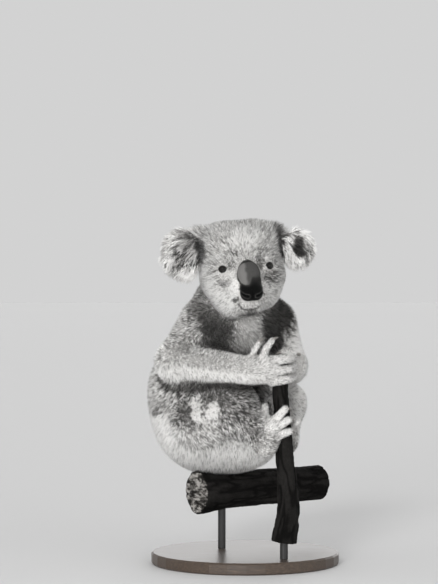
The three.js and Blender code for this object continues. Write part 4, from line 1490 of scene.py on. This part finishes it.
def swept(path, radii, sides, section=1.0):
    """A closed tube round a path: vertices and triangles. The section scales each side of each ring."""
    path, radii = np.asarray(path), np.asarray(radii)
    tangents = unit(np.gradient(path, axis=0))
    sideways = [unit(np.cross(tangents[0], UP if abs(tangents[0][2]) < 0.9 else point(1, 0, 0)))]
    for tangent in tangents[1:]:
        sideways.append(unit(sideways[-1] - (sideways[-1] @ tangent) * tangent))
    sideways = np.array(sideways)
    upright = np.cross(tangents, sideways)
    turn = np.arange(sides) / sides * math.tau
    spread = radii[:, None] * (np.ones((len(path), sides)) * section)
    ring = np.cos(turn)[None, :, None] * sideways[:, None] + np.sin(turn)[None, :, None] * upright[:, None]
    vertices = (path[:, None] + spread[..., None] * ring).reshape(-1, 3)
    grid = np.arange(len(vertices)).reshape(len(path), sides)
    quads = ring_quads(grid)
    caps = fan(len(vertices), grid[0])[:, FLIP], fan(len(vertices) + 1, grid[-1])
    faces = np.vstack([quads[:, [0, 1, 2]], quads[:, [0, 2, 3]], *caps])
    return np.vstack([vertices, path[0], path[-1]]), faces


CLAW = dict(radii=(0.35, 2.6), tones=(0.1, 0.75), rings=14, sides=12)  # radii and tones at its tip and root


def add_claw(name, material, path, radius, tip):
    """A long curved claw that grows out of the end of a digit."""
    out = unit(path[-1] - path[-2])
    start = path[-1] + out * radius * 0.25
    bend = (start + tip) / 2 + out * (2 + radius * 0.5)
    t = np.linspace(0, 1, CLAW["rings"])[:, None]
    curve = (1 - t) ** 2 * start + 2 * t * (1 - t) * bend + t * t * tip
    ahead = 1 - t[:, 0]
    vertices, faces = swept(curve, between(CLAW["radii"], ahead**0.8), CLAW["sides"])
    tone = np.append(np.repeat(between(CLAW["tones"], ahead), CLAW["sides"]), CLAW["tones"][::-1])
    dress(add_mesh(f"horn_{name}", vertices, faces, material, tone), "claw", f"claw_{name}")


def add_claws():
    material = claw_material()
    for limb_name, limbs in (("hand", HANDS), ("foot", FEET)):
        for side, paw_parts in limbs.items():
            for digit, (path, radius, tip) in paw_parts["digits"].items():
                if tip is not None:
                    add_claw(f"{limb_name}_{side}_{digit}", material, path, radius, tip)


add_nose()
add_eyes()
add_claws()

# ---------------------------------------------------------------- perch

BARK_LOW, BARK_HIGH = -3.4, 1.6  # how high the bark is in its deepest furrows and on its highest plates
BARK_SLOW = 0.22  # how fast its pattern changes along the stem, as a share of how fast it does round it


def bark_relief(length, turn, radius, seed):
    """How high the bark is at places along and round a stem: long plates between furrows."""
    circle = np.stack([np.cos(turn) * radius, np.sin(turn) * radius, length * BARK_SLOW], -1)
    circle = circle.reshape(-1, 3)
    warp = circle + 4 * noise_vector(circle, 9, seed)
    plates = np.abs(noise(warp, 7, seed + 5) * 2 - 1)
    lumps = noise(circle, 22, seed + 9)
    flakes = noise(circle * point(1, 1, 4), 3, seed + 13)
    return (1.9 * smooth(plates * 2.4) + 2.2 * lumps + 0.9 * flakes + BARK_LOW).reshape(length.shape)


END_RINGS = np.linspace(0.94, 0.03, 16)  # where a sawn end has vertices, as shares of its radius
END_TRIM = 0.96  # how much of the stem's radius is left at a sawn edge
BARK_RING = 30.0  # the bark counts as this far from the middle, where the growth rings fade into it


def sawn_end(middle, edge, out, turn, seed):
    """A sawn end: its vertices, how far they are from its middle, and how pale the wood is at them."""
    inner = middle + END_RINGS[:, None, None] * (edge - middle)
    from_middle = END_RINGS[:, None] * np.linalg.norm(edge - middle, axis=1)
    crack = np.maximum(0, 1 - np.abs(np.sin(turn * 2.5 + seed)) * 9) * smooth(END_RINGS[:, None] * 1.3)
    saw = noise(inner.reshape(-1, 3), 4, seed + 17).reshape(crack.shape)
    # The wood goes dark in the cracks: painted shade.
    return inner + out * (0.9 * saw - 1.6 * crack)[..., None], from_middle, 1 - 0.8 * crack


def stem(name, path, radii, sides, seed, node):
    """A length of wood with bark all round, and sawn ends with growth rings."""
    count = len(path)
    length = np.linalg.norm(path - path[0], axis=1)
    turn = np.arange(sides) / sides * math.tau
    relief = bark_relief(*np.meshgrid(length, turn, indexing="ij"), float(np.mean(radii)), seed)
    trim = np.ones(count)
    trim[[0, -1]] = END_TRIM
    bark = swept(path, radii, sides, trim[:, None] * (1 + relief / radii[:, None]))[0][:-2]
    bark = bark.reshape(count, sides, 3)
    grid = np.arange(count * sides).reshape(count, sides)
    rows, faces = [bark], [ring_quads(grid)]
    ring, cut = [np.full((count, sides), BARK_RING)], [np.zeros((count, sides))]
    for end, beside in ((0, 1), (count - 1, count - 2)):
        inner, from_middle, pale = sawn_end(path[end], bark[end], unit(path[end] - path[beside]), turn, seed)
        own = sum(len(row) for row in rows) * sides + np.arange(len(inner) * sides).reshape(-1, sides)
        rows.append(inner)
        ring.append(from_middle)
        cut.append(pale)
        quads = ring_quads(np.vstack([grid[end], own]))
        faces.append(quads[:, ::-1] if end == 0 else quads)
    height = np.clip((relief - BARK_LOW) / (BARK_HIGH - BARK_LOW), 0, 1).ravel()
    vertices = np.concatenate(rows).reshape(-1, 3)
    tones = np.append(height, np.full(len(vertices) - len(height), 0.5))
    piece = add_mesh(name, vertices, np.vstack(faces), BARK, tones)
    add_values(piece.data, "ring", np.concatenate(ring).ravel())
    add_values(piece.data, "cut", np.concatenate(cut).ravel())
    mesh = bmesh.new()
    mesh.from_mesh(piece.data)
    bmesh.ops.holes_fill(mesh, edges=mesh.edges, sides=sides)  # the middle of each sawn end
    mesh.to_mesh(piece.data)
    mesh.free()
    dress(piece, "bark", node)


def smooth_path(points, values, step):
    """A curve through the points, with a value at each, at about every `step` millimetres."""
    points, values = np.asarray(points), np.asarray(values, float)
    padded = np.vstack([2 * points[0] - points[1], points, 2 * points[-1] - points[-2]])
    path, own = [], []
    for n in range(len(points) - 1):
        a, b, c, d = padded[n : n + 4]
        pieces = max(2, round(np.linalg.norm(c - b) / step))
        for t in np.arange(pieces) / pieces:
            bend, twist = 2 * a - 5 * b + 4 * c - d, 3 * b - a - 3 * c + d
            path.append(0.5 * (2 * b + (c - a) * t + bend * t**2 + twist * t**3))
            own.append(between(values[n : n + 2], t))
    return np.array(path + [points[-1]]), np.array(own + [values[-1]])


STEM_STEP = 2.0
LOG_FLARE = 1.3  # the log widens to its cut over this many times the length in front of its middle


def add_perch():
    length = np.arange(-LOG["near"], LOG["far"] + 1, STEM_STEP)
    flare = smooth(1 - (length + LOG["near"]) / (LOG["near"] * LOG_FLARE))
    radii = between((LOG["radius"], LOG["cut_radius"]), flare)
    stem("log_bark", LOG["middle"] + length[:, None] * log_along, radii, 110, 200, "perch_log")
    path, branch_radii = smooth_path(BRANCH_POINTS, BRANCH_RADII, STEM_STEP)
    stem("branch_bark", path, branch_radii, 72, 300, "perch_branch")


add_perch()

# ---------------------------------------------------------------- stand, floor, light and camera


def finish_stand():
    looks = {"stand_base": stand_material(), "stand_rod_1": rod_material(), "stand_rod_2": rod_material()}
    for node, material in looks.items():
        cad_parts[node].material_slots[0].material = material


FLOOR_HALF = 60  # metres, so that its far edge is near the horizon


def add_floor():
    corners = [(x * FLOOR_HALF, y * FLOOR_HALF, 0) for x, y in ((-1, -1), (1, -1), (1, 1), (-1, 1))]
    mesh = bpy.data.meshes.new("floor")
    mesh.from_pydata(corners, [], [(0, 1, 2, 3)])
    mesh.materials.append(floor_material())
    floor = add_object("floor", mesh)


finish_stand()
add_floor()


def add_light(name, kind, toward, power, **settings):
    """A light that stands in the direction `toward`, seen from what it lights."""
    data = bpy.data.lights.new(name, kind)
    data.energy = power
    for key, value in settings.items():
        setattr(data, key, value)
    light = add_object(name, data)
    light.rotation_mode = "QUATERNION"
    light.rotation_quaternion = Vector(toward).to_track_quat("Z", "Y")
    return light


def add_sun(name, toward, power, spread):
    """A distant light that is `spread` degrees across."""
    return add_light(name, "SUN", toward, power, angle=math.radians(spread))


def add_panel(name, place, target, power, size):
    """A round soft light, which no camera sees."""
    panel = add_light(name, "AREA", place - target, power, shape="DISK", size=size)
    panel.location = place
    panel.visible_camera = False


AMBIENT = 0.6  # the radiance of the studio's walls, as they light the koala
BACKDROP = 0.645  # and as the camera sees them, which is as bright as the floor


def add_walls():
    """A world that the camera sees at one strength and that lights the model at another."""
    world = bpy.data.worlds.new("studio")
    bpy.context.scene.world = world
    world.use_nodes = True
    nodes, links = world.node_tree.nodes, world.node_tree.links
    seen = nodes.new("ShaderNodeLightPath").outputs["Is Camera Ray"]
    strength = nodes.new("ShaderNodeMath")
    strength.operation = "MULTIPLY_ADD"
    strength.inputs[1].default_value = BACKDROP - AMBIENT
    strength.inputs[2].default_value = AMBIENT
    links.new(seen, strength.inputs[0])
    links.new(strength.outputs[0], nodes["Background"].inputs["Strength"])
    nodes["Background"].inputs["Color"].default_value = (1, 1, 1, 1)


def add_lights():
    add_sun("key", (-0.4, -1.0, 0.7), 0.8, 15)
    front = add_sun("front", (-0.35, -1.0, 0.06), 2.6, 25)
    front.visible_glossy = False
    add_sun("side", (0.8, -0.7, 0.1), 0.8, 60)
    add_panel("low", (SEAT + point(-60, -460, -100)) * MM, (SEAT + point(-40, 0, 60)) * MM, 1.0, 0.3)
    add_sun("back", (0.2, 1.0, 0.4), 1.0, 60)
    add_walls()
    bpy.context.scene.view_settings.view_transform = "Standard"


CAMERA_FROM_SEAT = point(-34.4, -2500, 284.75)
HALF_VIEW = 0.1825  # half of the picture's height over the distance
SENSOR = 36


def add_camera():
    data = bpy.data.cameras.new("camera")
    data.sensor_width = SENSOR
    data.lens = SENSOR / 2 / HALF_VIEW
    camera = add_object("camera", data)
    camera.location = (SEAT + CAMERA_FROM_SEAT) * MM
    camera.rotation_euler = (math.pi / 2, 0, 0)
    bpy.context.scene.camera = camera


add_lights()
add_camera()
